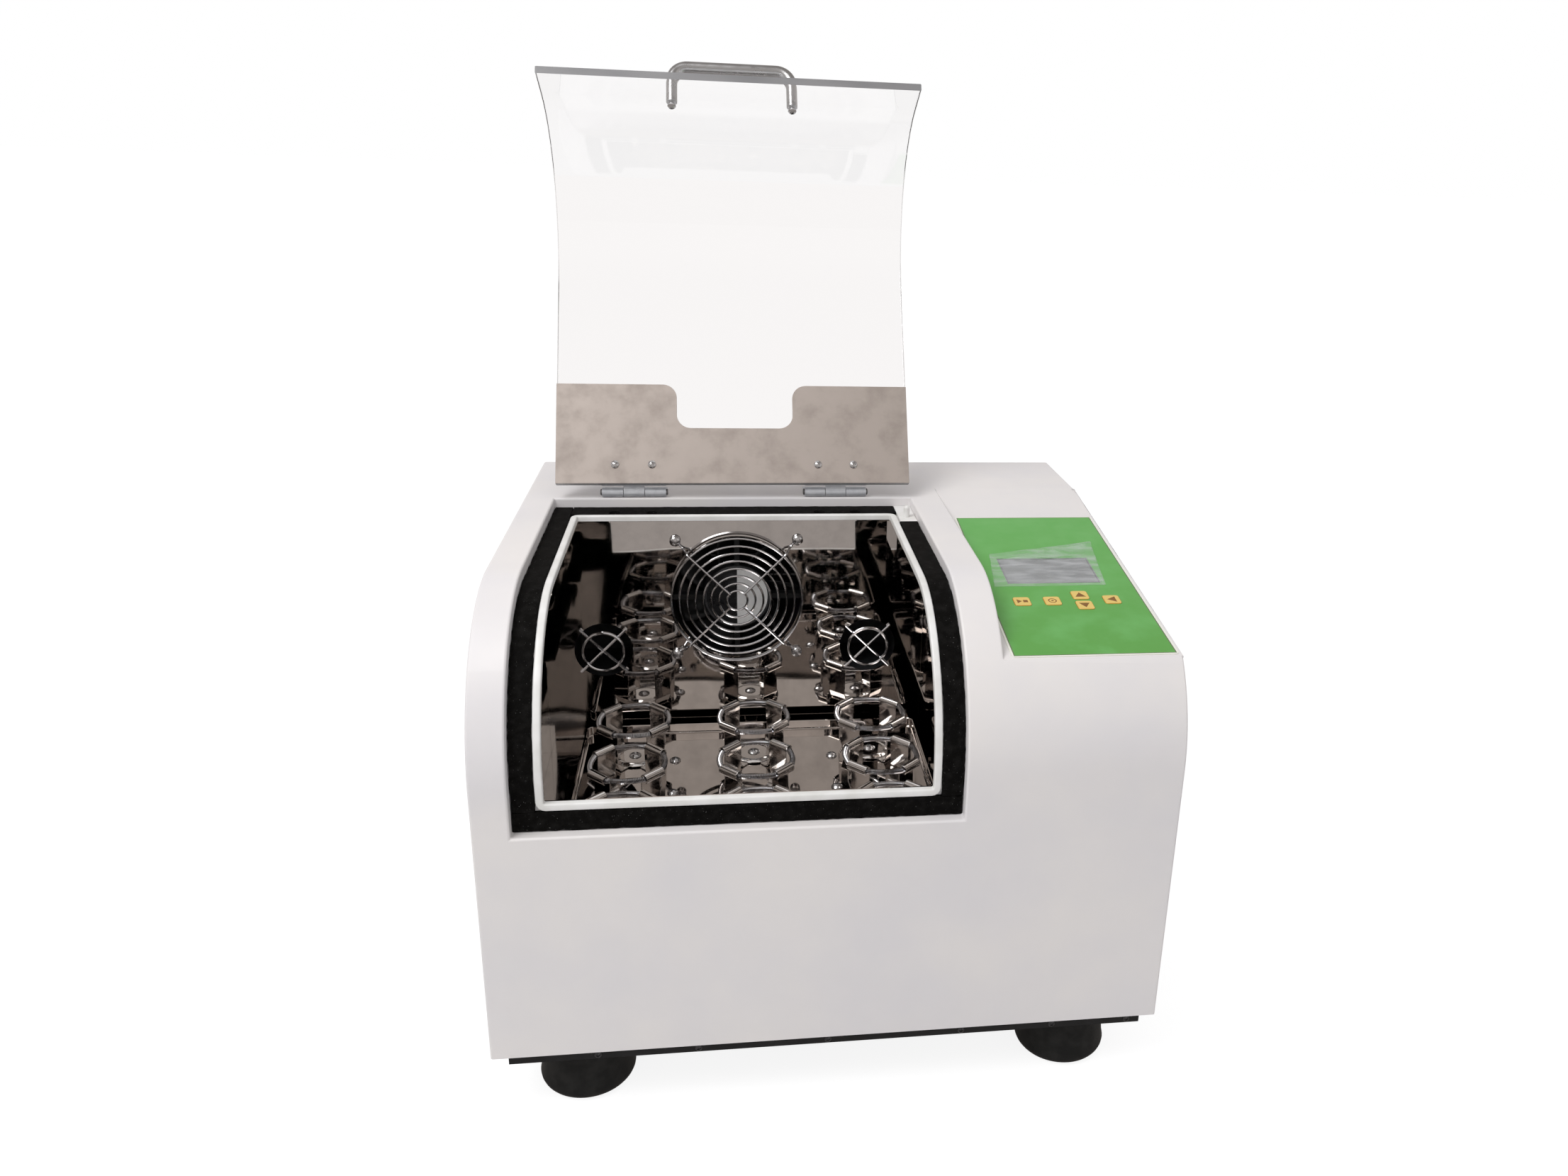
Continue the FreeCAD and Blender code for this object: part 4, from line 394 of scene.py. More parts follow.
acrylic = Finish("clear_acrylic", paint(250, 249, 249), Roughness=0.02, IOR=1.49)
acrylic.set(Transmission_Weight=1.0)
acrylic.bump(acrylic.noise(60, detail=1), 0.12, 0.6)

film = Finish("clear_film", paint(240, 242, 244), Roughness=0.12, IOR=1.45, Alpha=0.3)
film.rubbed(0.06, 0.22, 5, detail=3)
print("materials", len(bpy.data.materials))

# %% [markdown]
# Every piece is collected as points and faces in millimetres. A small Shape class places them,
# and `make` turns one into a Blender object: it welds doubled points, turns the faces outwards,
# keeps sharp edges sharp, and eases them with a narrow bevel, as no real edge is a knife edge.

# %% Shapes and pieces
class Shape:
    def __init__(self):
        self.points = []
        self.faces = []
        self.kinds = []

    def add(self, points, faces):
        start = len(self.points)
        self.points += [Vector(p) for p in points]
        self.faces += [[start + i for i in face] for face in faces]
        self.kinds += [0] * len(faces)
        return self

    def join(self, other, place=None):
        start = len(self.points)
        self.points += [place @ p if place else p for p in other.points]
        self.faces += [[start + i for i in face] for face in other.faces]
        self.kinds += other.kinds
        return self


def make(name, shape, body, finishes, stands_for=(), sharp=35, ease=0.0, place=None,
         open_skin=False):
    """A piece in metres. Its finishes are told apart by the kind of each face."""
    finishes = finishes if isinstance(finishes, (list, tuple)) else [finishes]
    mesh = bpy.data.meshes.new(name)
    mesh.from_pydata([p * MM for p in shape.points], [], shape.faces)
    for index, kind in enumerate(shape.kinds):
        mesh.polygons[index].material_index = kind
    tidy = bmesh.new()
    tidy.from_mesh(mesh)
    bmesh.ops.remove_doubles(tidy, verts=tidy.verts, dist=2e-6)
    if not open_skin:
        bmesh.ops.recalc_face_normals(tidy, faces=tidy.faces)
    tidy.to_mesh(mesh)
    tidy.free()
    for finish in finishes:
        mesh.materials.append(finish.material)
    piece = bpy.data.objects.new(name, mesh)
    bpy.context.scene.collection.objects.link(piece)
    return settle(piece, body, stands_for, sharp, ease, place)


def settle(piece, body, stands_for, sharp, ease, place=None):
    """Smooths, eases, places the piece, hangs it on its body and hides the nodes it stands for."""
    for polygon in piece.data.polygons:
        polygon.use_smooth = True
    if ease:
        bevel = piece.modifiers.new("eased edges", "BEVEL")
        bevel.width = ease * MM
        bevel.segments = 2
        bevel.limit_method = "ANGLE"
        bevel.angle_limit = math.radians(sharp)
    else:
        piece.data.set_sharp_from_angle(angle=math.radians(sharp))
    flat = piece.modifiers.new("flat faces stay flat", "WEIGHTED_NORMAL")
    flat.keep_sharp = True
    flat.weight = 100
    if place:
        piece.matrix_world = place
    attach(piece, body)
    if stands_for:
        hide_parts(*([stands_for] if isinstance(stands_for, str) else stands_for))
    return piece


def twin(source, name, body, stands_for=(), place=None):
    """Another object on the same mesh, for parts that the maker stamps many of."""
    copy = bpy.data.objects.new(name, source.data)
    bpy.context.scene.collection.objects.link(copy)
    for old in source.modifiers:
        new = copy.modifiers.new(old.name, old.type)
        for key in ("width", "segments", "limit_method", "angle_limit", "keep_sharp", "weight"):
            if hasattr(old, key):
                setattr(new, key, getattr(old, key))
    if place:
        copy.matrix_world = place
    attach(copy, body)
    if stands_for:
        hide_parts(stands_for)
    return copy


def shift(x, y, z):
    return Matrix.Translation(Vector((x, y, z)))


def metres(matrix):
    """The same placing with its shift in metres, for an object rather than its points."""
    made = matrix.copy()
    made.translation = matrix.translation * MM
    return made


# %% [markdown]
# Most small parts are turned, bent from wire, or bounded by a stack of outlines. Three helpers
# make those: `lathe` turns a profile, `tube` follows a path with a round section, and `stack`
# joins outlines that have the same number of points.

# %% Turned parts, bent wires and stacked outlines
def stack(loops, low_cap=True, high_cap=True):
    """Skin over outlines with as many points each, with a flat cap at the ends that ask for it."""
    count = len(loops[0])
    points = [p for loop in loops for p in loop]
    faces = []
    for row in range(len(loops) - 1):
        for i in range(count):
            j = (i + 1) % count
            faces.append((
                row * count + i, row * count + j, (row + 1) * count + j, (row + 1) * count + i))
    if low_cap:
        faces.append(list(range(count))[::-1])
    if high_cap:
        start = (len(loops) - 1) * count
        faces.append(list(range(start, start + count)))
    return Shape().add(points, faces)


def turned_loops(profile, steps):
    """One ring of points about Z for each (radius, height) of a profile."""
    angles = [2 * math.pi * k / steps for k in range(steps)]
    return [[(radius * math.cos(a), radius * math.sin(a), height) for a in angles]
            for radius, height in profile]


def lathe(profile, steps=40, place=None):
    """Turns a profile about Z. An end that is off the axis gets a flat cap."""
    caps = [profile[end][0] > 0 for end in (0, -1)]
    return Shape().join(stack(turned_loops(profile, steps), *caps), place)


def lathe_band(profile, steps, place):
    """Turns a profile about Z as one band of skin from its first point to its last, uncapped."""
    return Shape().join(stack(turned_loops(profile, steps), False, False), place)


def tube(path, radius, sides=10, closed=False):
    """Round wire along a path, its section carried along without twisting."""
    path = [Vector(p) for p in path]
    count = len(path)
    tangents = []
    for i in range(count):
        before = path[i - 1] if i or closed else path[0]
        after = path[(i + 1) % count] if i < count - 1 or closed else path[-1]
        tangents.append((after - before).normalized())
    side = tangents[0].orthogonal().normalized()
    sides_at = [side]
    for i in range(1, count):
        side = side - tangents[i] * side.dot(tangents[i])
        side.normalize()
        sides_at.append(side)
    twist = 0.0
    if closed:
        end = sides_at[-1] - tangents[0] * sides_at[-1].dot(tangents[0])
        end.normalize()
        twist = math.atan2(end.cross(sides_at[0]).dot(tangents[0]), end.dot(sides_at[0]))
    loops = []
    for i in range(count):
        across = tangents[i].cross(sides_at[i])
        extra = twist * i / count
        loops.append([
            path[i] + (sides_at[i] * math.cos(a + extra) + across * math.sin(a + extra)) * radius
            for a in (2 * math.pi * k / sides for k in range(sides))])
    if closed:
        return stack(loops + [loops[0]], False, False)
    return stack(loops)


def bent(corners, bend, step=12):
    """Straight runs joined by arcs, as a list of points."""
    corners = [Vector(c) for c in corners]
    points = [corners[0]]
    for before, corner, after in zip(corners, corners[1:], corners[2:]):
        arriving = (corner - before).normalized()
        leaving = (after - corner).normalized()
        angle = arriving.angle(leaving)
        if angle < 1e-3:
            continue
        setback = bend * math.tan(angle / 2)
        axis = arriving.cross(leaving).normalized()
        start = corner - arriving * setback
        centre = start + axis.cross(arriving) * bend
        parts = max(2, round(math.degrees(angle) / step))
        for k in range(parts + 1):
            points.append(centre + Matrix.Rotation(angle * k / parts, 3, axis) @ (start - centre))
    points.append(corners[-1])
    return points


def rounded(x0, x1, y0, y1, radius, corner_steps=6):
    """Rounded rectangle as (x, y) points, starting at its lower left corner."""
    points = []
    centres = [
        (x0 + radius, y0 + radius, 180), (x1 - radius, y0 + radius, 270),
        (x1 - radius, y1 - radius, 0), (x0 + radius, y1 - radius, 90)]
    for cx, cy, start in centres:
        for k in range(corner_steps + 1):
            angle = math.radians(start + 90 * k / corner_steps)
            points.append((cx + radius * math.cos(angle), cy + radius * math.sin(angle)))
    return points


def slab_of(x0, x1, y0, y1, z0, z1, radius, edge=0.0, corner_steps=6):
    """Plate with round corners, its upper edge rounded over by `edge`."""
    loops = [[(x, y, z0) for x, y in rounded(x0, x1, y0, y1, radius, corner_steps)]]
    for k in range(4 if edge else 1):
        angle = math.radians(30 * k)
        inset = edge * (1 - math.cos(angle))
        loops.append([
            (x, y, z1 - edge + edge * math.sin(angle)) for x, y in rounded(
                x0 + inset, x1 - inset, y0 + inset, y1 - inset, max(radius - inset, 0.05),
                corner_steps)])
    return stack(loops)


print("helpers ready")

# %% [markdown]
# Screws show all over this object. Their heads are pressed domes with a real cross recess. A
# square grid is bent into a disc, so that the grid's middle lines become the arms of the cross,
# and the faces of the cross are pushed down with walls round them.

# %% Cross-head screws
def dome_grid(radius, height, arm=0.16, reach=0.58, depth=0.55):
    """A domed head of this radius, as a separate little mesh with a cross recess."""
    lines = [-1, -0.86, -0.72, -reach, -0.37, -arm, arm, 0.37, reach, 0.72, 0.86, 1]
    ball = (radius * radius + height * height) / (2 * height)
    head = bmesh.new()
    grid = []
    for v in lines:
        row = []
        for u in lines:
            x = radius * u * math.sqrt(1 - v * v / 2)
            y = radius * v * math.sqrt(1 - u * u / 2)
            flat = min(x * x + y * y, radius * radius)
            row.append(head.verts.new((x, y, height - ball + math.sqrt(ball * ball - flat))))
        grid.append(row)
    cross = []
    for i in range(len(lines) - 1):
        for j in range(len(lines) - 1):
            face = head.faces.new((grid[i][j], grid[i][j + 1], grid[i + 1][j + 1], grid[i + 1][j]))
            middle_u = abs(lines[j] + lines[j + 1]) / 2
            middle_v = abs(lines[i] + lines[i + 1]) / 2
            if min(middle_u, middle_v) < arm and max(middle_u, middle_v) < reach:
                cross.append(face)
    sunk = bmesh.ops.extrude_face_region(head, geom=cross)
    bmesh.ops.delete(head, geom=cross, context="FACES_ONLY")
    for vert in sunk["geom"]:
        if isinstance(vert, bmesh.types.BMVert):
            vert.co.x *= 0.8
            vert.co.y *= 0.8
            vert.co.z -= height * depth
    shape = Shape()
    head.verts.index_update()
    shape.add([v.co.copy() for v in head.verts], [[v.index for v in f.verts] for f in head.faces])
    head.free()
    return shape


def cross_screw(radius, height, shank, length, place, turn=0.0):
    """Head, a low rim under it, and the shank; place puts it down with its head along +Z."""
    lift = height * 0.25
    shape = Shape().join(dome_grid(radius, height - lift), shift(0, 0, lift))
    rim = [(radius, lift)]
    rim += [(radius, lift * 0.3), (radius * 0.96, 0), (shank, 0), (shank, -length), (0, -length)]
    shape.join(lathe(rim[::-1], 44))
    spin = Matrix.Rotation(turn, 4, "Z")
    return Shape().join(shape, place @ spin)


def facing(place, direction):
    """Placing that turns +Z along a direction."""
    return shift(*place) @ Vector(direction).to_track_quat("Z", "Y").to_matrix().to_4x4()


def screws(name, places, radius, height, shank, length, body, stands_for=(), seed=1,
           finish=screw_steel):
    """Several screws as one piece. Their crosses stop at odd angles, as after tightening."""
    dice = random.Random(seed)
    shape = Shape()
    for spot, direction in places:
        shape.join(cross_screw(
            radius, height, shank, length, facing(spot, direction), dice.uniform(0, math.pi / 2)))
    return make(name, shape, body, finish, stands_for, sharp=32)


print("screw head faces", len(dome_grid(4.6, 3.2).faces))

# %% [markdown]
# The front of the casing is one sheet that runs up the front, round a big shoulder and back over
# the top. Anything that lies on it, such as the recess, the white trim and the foam, is drawn on
# that sheet as if it were unrolled: x across, t along it, h out of it.

# %% The unrolled front sheet
arc_length = shoulder_radius * math.pi / 2
ramp_angle_at = math.acos((shoulder_y - ramp_low[0]) / shoulder_radius)


def on_sheet(x, t, h=0.0):
    if t <= 0:
        return Vector((x, y_front - h, z_shoulder + t))
    if t >= arc_length:
        return Vector((x, shoulder_y + t - arc_length, z_top + h))
    angle = t / shoulder_radius
    reach = shoulder_radius + h
    return Vector((
        x, shoulder_y - reach * math.cos(angle), z_shoulder + reach * math.sin(angle)))


def at_height(z):
    return z - z_shoulder


def at_depth(y):
    return arc_length + y - shoulder_y


arc_stations = [arc_length * k / 24 for k in range(25)]
recess_t = (at_height(227.0), at_depth(86.5))
mouth_t = (at_height(247.6), at_depth(59.0))
ramp_t = shoulder_radius * ramp_angle_at


def framed(x0, x1, t0, t1, grown, radius, h, corner_steps=4):
    """Rounded rectangle on the sheet, with points at each station of the shoulder."""
    x0, x1, t0, t1 = x0 - grown, x1 + grown, t0 - grown, t1 + grown
    radius = max(radius + grown, 0.05)
    flat = rounded(x0, x1, t0, t1, radius, corner_steps)
    side = corner_steps + 1
    inner = [t for t in arc_stations if t0 + radius + 0.5 < t < t1 - radius - 0.5]
    loop = flat[:2 * side] + [(x1, t) for t in inner] + flat[2 * side:]
    loop += [(x0, t) for t in reversed(inner)]
    return [on_sheet(x, t, h) for x, t in loop]


print("sheet length", round(arc_length + 2 * 210))

# %% [markdown]
# The picture is a plain studio one. The world gives even light from all round. What the camera
# sees of it, also through the clear lid, is white. Polished steel sees a dimmer, warmer room
# instead, as mirrors do in a real workshop, or the chamber would look chalky. The floor is pale
# and matt, and it partly glows for the camera only, which keeps a faint shadow. A soft key light
# hangs high on the left, where the lid doesn't mirror it to the camera, and a weak one fills in.

# %% Studio: world, floor and lights
world = bpy.data.worlds.new("studio")
bpy.context.scene.world = world
world.use_nodes = True
sky = Nodes(world.node_tree)
by_camera, by_mirror, through_lid = (
    sky.node("ShaderNodeLightPath", output=ray) for ray in (
        "Is Camera Ray", "Is Glossy Ray", "Is Transmission Ray"))
directly = by_camera.math("MAXIMUM", through_lid)
even_light = sky.node("ShaderNodeBackground", inputs={"Color": (1, 0.99, 1, 1), "Strength": 0.62})
white_light = sky.node("ShaderNodeBackground", inputs={"Color": (1, 1, 1, 1), "Strength": 1.0})
height = sky.node("ShaderNodeSeparateXYZ", inputs={
    0: sky.node("ShaderNodeTexCoord", output="Generated")}, output=2)
room = sky.node("ShaderNodeValToRGB", {"stops": [
    (0.0, (0.62, 0.58, 0.55, 1)), (0.35, (0.66, 0.62, 0.59, 1)), (0.75, (0.4, 0.37, 0.35, 1))]},
    {"Fac": height})
room_light = sky.node("ShaderNodeBackground", inputs={"Color": room, "Strength": 1.0})
mirrored = sky.node("ShaderNodeMixShader", inputs={0: by_mirror, 1: even_light, 2: room_light})
either = sky.node("ShaderNodeMixShader", inputs={0: directly, 1: mirrored, 2: white_light})
sky.feed(world.node_tree.nodes["World Output"].inputs["Surface"], either)

floor_paper = Finish("floor_paper", (0.8, 0.8, 0.8, 1), Roughness=0.9)
glow = floor_paper.node("ShaderNodeEmission", inputs={"Color": (1, 1, 1, 1), "Strength": 1.25})
direct = floor_paper.node("ShaderNodeLightPath").math("MAXIMUM", floor_paper.node(
    "ShaderNodeLightPath", output="Is Transmission Ray"))
lit = Val(floor_paper, floor_paper.shader.outputs[0])
floor_out = floor_paper.tree.nodes["Material Output"].inputs["Surface"]
bench = floor_paper.node("ShaderNodeEmission", inputs={
    "Color": (0.4, 0.36, 0.335, 1), "Strength": 1.0})
polished = floor_paper.node("ShaderNodeLightPath", output="Is Glossy Ray")
lit = floor_paper.node("ShaderNodeMixShader", inputs={0: polished * 0.85, 1: lit, 2: bench})
floor_paper.feed(floor_out, floor_paper.node(
    "ShaderNodeMixShader", inputs={0: direct * 0.7, 1: lit, 2: glow}))
floor_mesh = bpy.data.meshes.new("floor")
floor_reach = 30
floor_mesh.from_pydata([(x * floor_reach, y * floor_reach, 0) for x, y in (
    (-1, -1), (1, -1), (1, 1), (-1, 1))], [], [(0, 1, 2, 3)])
floor_mesh.materials.append(floor_paper.material)
floor = bpy.data.objects.new("floor", floor_mesh)
bpy.context.scene.collection.objects.link(floor)


def soft_light(name, watts, size, spot, target):
    data = bpy.data.lights.new(name, "AREA")
    data.energy = watts
    data.size = size
    lamp = bpy.data.objects.new(name, data)
    lamp.location = spot
    lamp.rotation_euler = (Vector(target) - Vector(spot)).to_track_quat("-Z", "Y").to_euler()
    bpy.context.scene.collection.objects.link(lamp)


soft_light("key", 24.5, 1.1, (-1.0, -0.75, 2.05), (0, 0, 0.2))
soft_light("fill", 1.0, 1.5, (1.9, -1.2, 1.2), (0, 0, 0.2))
print("studio ready")

# %% [markdown]
# The casing is folded from 1.5 mm sheet: two cheeks, a wrap that runs up the front and over the
# shoulder, a sunk pan round the chamber's mouth, and a sloping control ramp let into the right
# side. It is drawn as the outside skin alone. A bevel then gives each fold its bend radius, and a
# Solidify puts the sheet's thickness behind it, as a folded sheet has an even thickness.

# %% Casing skin
edging_room = 1.4
ledge_x = (mouth_x[0] - edging_room, mouth_x[1] + edging_room)
ledge_t = (mouth_t[0] - edging_room, mouth_t[1] + edging_room)
columns_x = sorted([-half_width, *recess_x, ramp_x, half_width, *ledge_x])
ramp_t1 = at_depth(ramp_top[0])
stations = sorted(arc_stations + [
    at_height(z_edge), recess_t[0], ledge_t[0], ramp_t, ledge_t[1], recess_t[1], ramp_t1,
    at_depth(y_rear)])


def sheet_cells(shape, xs, ts, h, skip):
    for x0, x1 in zip(xs, xs[1:]):
        for t0, t1 in zip(ts, ts[1:]):
            if not skip((x0 + x1) / 2, (t0 + t1) / 2):
                shape.add([
                    on_sheet(x0, t0, h), on_sheet(x1, t0, h), on_sheet(x1, t1, h),
                    on_sheet(x0, t1, h)], [(0, 1, 2, 3)])


def inside(x, t, xs, ts):
    return xs[0] < x < xs[1] and ts[0] < t < ts[1]


def quad(shape, *points):
    shape.add(points, [list(range(len(points)))])


skin = Shape()
sheet_cells(skin, columns_x, stations, 0, lambda x, t: inside(x, t, recess_x, recess_t) or inside(
    x, t, (ramp_x, half_width), (ramp_t, ramp_t1)))
pan_x = [x for x in columns_x if recess_x[0] <= x <= recess_x[1]]
pan_t = [t for t in stations if recess_t[0] <= t <= recess_t[1]]
sheet_cells(skin, pan_x, pan_t, -recess_depth, lambda x, t: inside(x, t, ledge_x, ledge_t))
for x in recess_x:
    for t0, t1 in zip(pan_t, pan_t[1:]):
        quad(skin, on_sheet(x, t0), on_sheet(x, t1), on_sheet(x, t1, -recess_depth),
             on_sheet(x, t0, -recess_depth))
for t in recess_t:
    for x0, x1 in zip(pan_x, pan_x[1:]):
        quad(skin, on_sheet(x0, t), on_sheet(x1, t), on_sheet(x1, t, -recess_depth),
             on_sheet(x0, t, -recess_depth))
foot_corner = Vector((0, y_rear, z_edge))
left_line = [on_sheet(-half_width, t) for t in stations]
quad(skin, *left_line, foot_corner + Vector((-half_width, 0, 0)))
right_line = [on_sheet(half_width, t) for t in stations if t <= ramp_t or t >= ramp_t1]
quad(skin, *right_line, foot_corner + Vector((half_width, 0, 0)))
quad(skin, *[on_sheet(ramp_x, t) for t in stations if ramp_t <= t <= ramp_t1])

# %% [markdown]
# The ramp carries the controls. Places on it are measured across from its left edge and down
# from its top. The sheet is pierced for the display and for five keys, so the face is filled
# round those outlines.

# %% Control ramp
slope = math.atan2(ramp_top[1] - ramp_low[1], ramp_top[0] - ramp_low[0])
ramp_place = shift(ramp_x, ramp_top[0], ramp_top[1]) @ Matrix.Rotation(slope, 4, "X")
ramp_length = math.hypot(ramp_top[1] - ramp_low[1], ramp_top[0] - ramp_low[0])
display = (27.0, 102.0, 146.5, 190.0)
keys = {
    "start": (31.5, 219.8), "set": (55.2, 219.6), "up": (79.1, 211.1), "down": (79.0, 226.9),
    "shift": (102.4, 218.8)}
key_half, key_corner = (6.5, 6.6), 2.4


def filled(shape, outline, holes, place):
    """A flat face with holes in it, from outlines of (x, y) points."""
    loops = [[Vector((x, y, 0)) for x, y in loop] for loop in [outline] + holes]
    flat = [p for loop in loops for p in loop]
    triangles = geometry.tessellate_polygon(loops)
    shape.add([place @ p for p in flat], [list(t) for t in triangles])


def key_hole(name, grown=0.25):
    """The hole for a key, this much larger all round than the key."""
    across, down = keys[name]
    reach_x, reach_y = key_half[0] + grown, key_half[1] + grown
    return rounded(across - reach_x, across + reach_x, -down - reach_y, -down + reach_y,
                   key_corner + grown, 5)


display_hole = [(display[0], -display[3]), (display[1], -display[3]), (display[1], -display[2]),
                (display[0], -display[2])]
filled(skin, [(0, 0), (0, -ramp_length), (half_width - ramp_x, -ramp_length),
              (half_width - ramp_x, 0)],
       [display_hole] + [key_hole(name) for name in keys], ramp_place)
casing = make("casing_skin", skin, "root", powder, "outer_casing", open_skin=True)
casing.modifiers.clear()
shell = bmesh.new()
shell.from_mesh(casing.data)
bmesh.ops.recalc_face_normals(shell, faces=shell.faces)
outermost = min(shell.faces, key=lambda f: f.calc_center_median().x)
if outermost.normal.x > 0:
    bmesh.ops.reverse_faces(shell, faces=shell.faces)
shell.to_mesh(casing.data)
shell.free()
fold = casing.modifiers.new("fold radius", "BEVEL")
fold.width = 1.8 * MM
fold.segments = 3
fold.use_clamp_overlap = False
fold.limit_method = "ANGLE"
fold.angle_limit = math.radians(30)
thickness = casing.modifiers.new("sheet thickness", "SOLIDIFY")
thickness.thickness = sheet * MM
thickness.offset = -1
even = casing.modifiers.new("flat faces stay flat", "WEIGHTED_NORMAL")
even.weight = 100
print("casing faces", len(casing.data.polygons))

# %% [markdown]
# Below, the casing's sheet is turned in as a lip that the base tray screws to, and behind, it is
# turned in round the rear panel. Those lips are narrow strips, so plain eased bars do for them.

# %% Turned-in lips
def bar(shape, x0, x1, y0, y1, z0, z1):
    points = [(x, y, z) for z in (z0, z1) for x, y in ((x0, y0), (x1, y0), (x1, y1), (x0, y1))]
    faces = [(3, 2, 1, 0), (4, 5, 6, 7), (0, 1, 5, 4), (1, 2, 6, 5), (2, 3, 7, 6), (3, 0, 4, 7)]
    shape.add(points, faces)


lips = Shape()
tray_lip, panel_lip = 16, 12
rear_lip_y, panel_front_y, panel_y = 190, 204.5, 206.0
inner_x = half_width - sheet
bar(lips, -inner_x, inner_x, y_front + sheet, y_front + tray_lip, z_edge, z_edge + sheet)
bar(lips, -inner_x, inner_x, rear_lip_y, y_rear, z_edge, z_edge + sheet)
bar(lips, -inner_x, inner_x, panel_front_y, panel_y, z_top - panel_lip, z_top - sheet)
bar(lips, -inner_x, inner_x, panel_front_y, panel_y, z_edge + sheet, z_edge + panel_lip)
for side in (-1, 1):
    near, far = sorted((side * inner_x, side * (half_width - tray_lip)))
    bar(lips, near, far, y_front + tray_lip, rear_lip_y, z_edge, z_edge + sheet)
    near, far = sorted((side * inner_x, side * (half_width - panel_lip)))
    bar(lips, near, far, panel_front_y, panel_y, z_edge + panel_lip, z_top - panel_lip)
make("casing_lips", lips, "root", powder, ease=0.3)

# %% [markdown]
# A white moulded edging is pushed over the mouth's sheet edge. Its section is a flat cap with a
# raised inner lip, and it is swept round the mouth along the curved front, so the corners stay
# tight while the cap bends with the sheet.

# %% Edging round the mouth
section = [
    (0, -12.5), (0, -9), (0.4, -8.3), (1.2, -7.9), (4.2, -8), (5.0, -8.4), (5.5, -9.2), (5.5, -11),
    (1.4, -11), (1.4, -12.5)]
loops = [framed(*mouth_x, *mouth_t, d, 1.2, h) for d, h in section]
edging = stack(loops + loops[:1], False, False)
make("mouth_edging", edging, "root", white_plastic, "opening_trim", sharp=40)

# %% [markdown]
# The black foam that the lid closes on is cut by hand from self-adhesive strip, so its edges
# wander by a few tenths and its corners are not quite square. It stops short of the lid switch,
# and the rear strip is notched round the screws of the lid's plate.

# %% Foam strips
shake = random.Random(11)
foam_low, foam_high = -recess_depth, -8.0


def wander(amount=0.35):
    return shake.uniform(-amount, amount)


def cut_line(start, end, step=4.0):
    """Points along a straight cut that wander a little to either side."""
    (x0, t0), (x1, t1) = start, end
    parts = max(1, round(math.hypot(x1 - x0, t1 - t0) / step))
    return [(x0 + (x1 - x0) * k / parts + wander(), t0 + (t1 - t0) * k / parts + wander())
            for k in range(parts + 1)]


def foam_strip(one_side, other_side):
    """A foam strip between two cut lines with as many points each, laid on the sheet."""
    shape = Shape()
    lines = []
    for h, inset in ((foam_low, 0), (foam_high - 0.5, 0), (foam_high, 0.45)):
        first, second = [], []
        for (xa, ta), (xb, tb) in zip(one_side, other_side):
            apart = math.hypot(xb - xa, tb - ta)
            dx, dt = (xb - xa) / apart * inset, (tb - ta) / apart * inset
            first.append(on_sheet(xa + dx, ta + dt, h))
            second.append(on_sheet(xb - dx, tb - dt, h))
        lines.append((first, second))
    count = len(one_side)
    loops = [
        [lines[0][0][i], lines[1][0][i], lines[2][0][i], lines[2][1][i], lines[1][1][i],
         lines[0][1][i]] for i in range(count)]
    return shape.join(stack(loops))


left_edge, right_edge = recess_x[0] + 0.4, recess_x[1] - 0.4
left_inner, right_inner = -204.4, 71.4
front_t, seam_t = at_height(227.4), at_height(241.7)
rear_y0, rear_y1, switch_t = 64.9, 86.1, at_depth(39.1)
butt = 0.4
strips = foam_strip(
    cut_line((left_edge, front_t), (right_edge, front_t)),
    cut_line((left_edge, seam_t), (right_edge, seam_t)))
strips.join(foam_strip(
    cut_line((left_edge, seam_t + butt), (left_edge, at_depth(rear_y1))),
    cut_line((left_inner, seam_t + butt), (left_inner, at_depth(rear_y1)))))
strips.join(foam_strip(
    cut_line((right_inner, seam_t + butt), (right_inner, switch_t)),
    cut_line((right_edge, seam_t + butt), (right_edge, switch_t))))
make("foam_strips", strips, "root", foam, "lid_gasket", sharp=45)

ledge_z, foam_thickness = z_top - recess_depth, 3
rear_x0, rear_x1, rear_corner_y = -204, 71.6, 85.8
dent_radius = 4.9
half_open = math.asin((lid_screw_y - rear_y0) / dent_radius)
near_cut = []
for x in (x + side * lid_screw_offset for x in hinge_x for side in (-1, 1)):
    start = near_cut[-1][0] + butt if near_cut else rear_x0
    reach = dent_radius * math.cos(half_open)
    near_cut += cut_line((start, rear_y0), (x - reach - butt, rear_y0))
    for k in range(13):
        angle = math.pi + half_open - (math.pi + 2 * half_open) * k / 12
        near_cut.append((
            x + dent_radius * math.cos(angle), lid_screw_y + dent_radius * math.sin(angle)))
near_cut += cut_line((near_cut[-1][0] + butt, rear_y0), (rear_x1, rear_y0))
outline = near_cut + cut_line((rear_x1, rear_y0 + 0.5), (rear_x1, rear_corner_y))
outline += cut_line((rear_x1 - 0.2, rear_y1), (rear_x0 + 0.2, rear_y1))
outline += cut_line((rear_x0, rear_corner_y), (rear_x0, rear_y0 + 0.5))
rear_foam = Shape()
filled(rear_foam, outline, [], shift(0, 0, ledge_z + foam_thickness))
filled(rear_foam, outline, [], shift(0, 0, ledge_z))
walls = [[(x, y, ledge_z + z) for x, y in outline] for z in (0, foam_thickness)]
rear_foam.join(stack(walls, False, False))
make("foam_rear", rear_foam, "root", foam, sharp=45)
print("foam strips laid")

# %% [markdown]
# Some nodes already have their final shape, such as flat sheets with holes. `dressed` gives such a
# node its finish and leaves it as it is. `eased` makes a copy with its stray triangle edges
# dissolved and its real edges softened, and lets that copy stand for the node.

# %% Carrying nodes over
def dressed(name, finish):
    node = nodes[name]
    node.data.materials.clear()
    node.data.materials.append(finish.material)


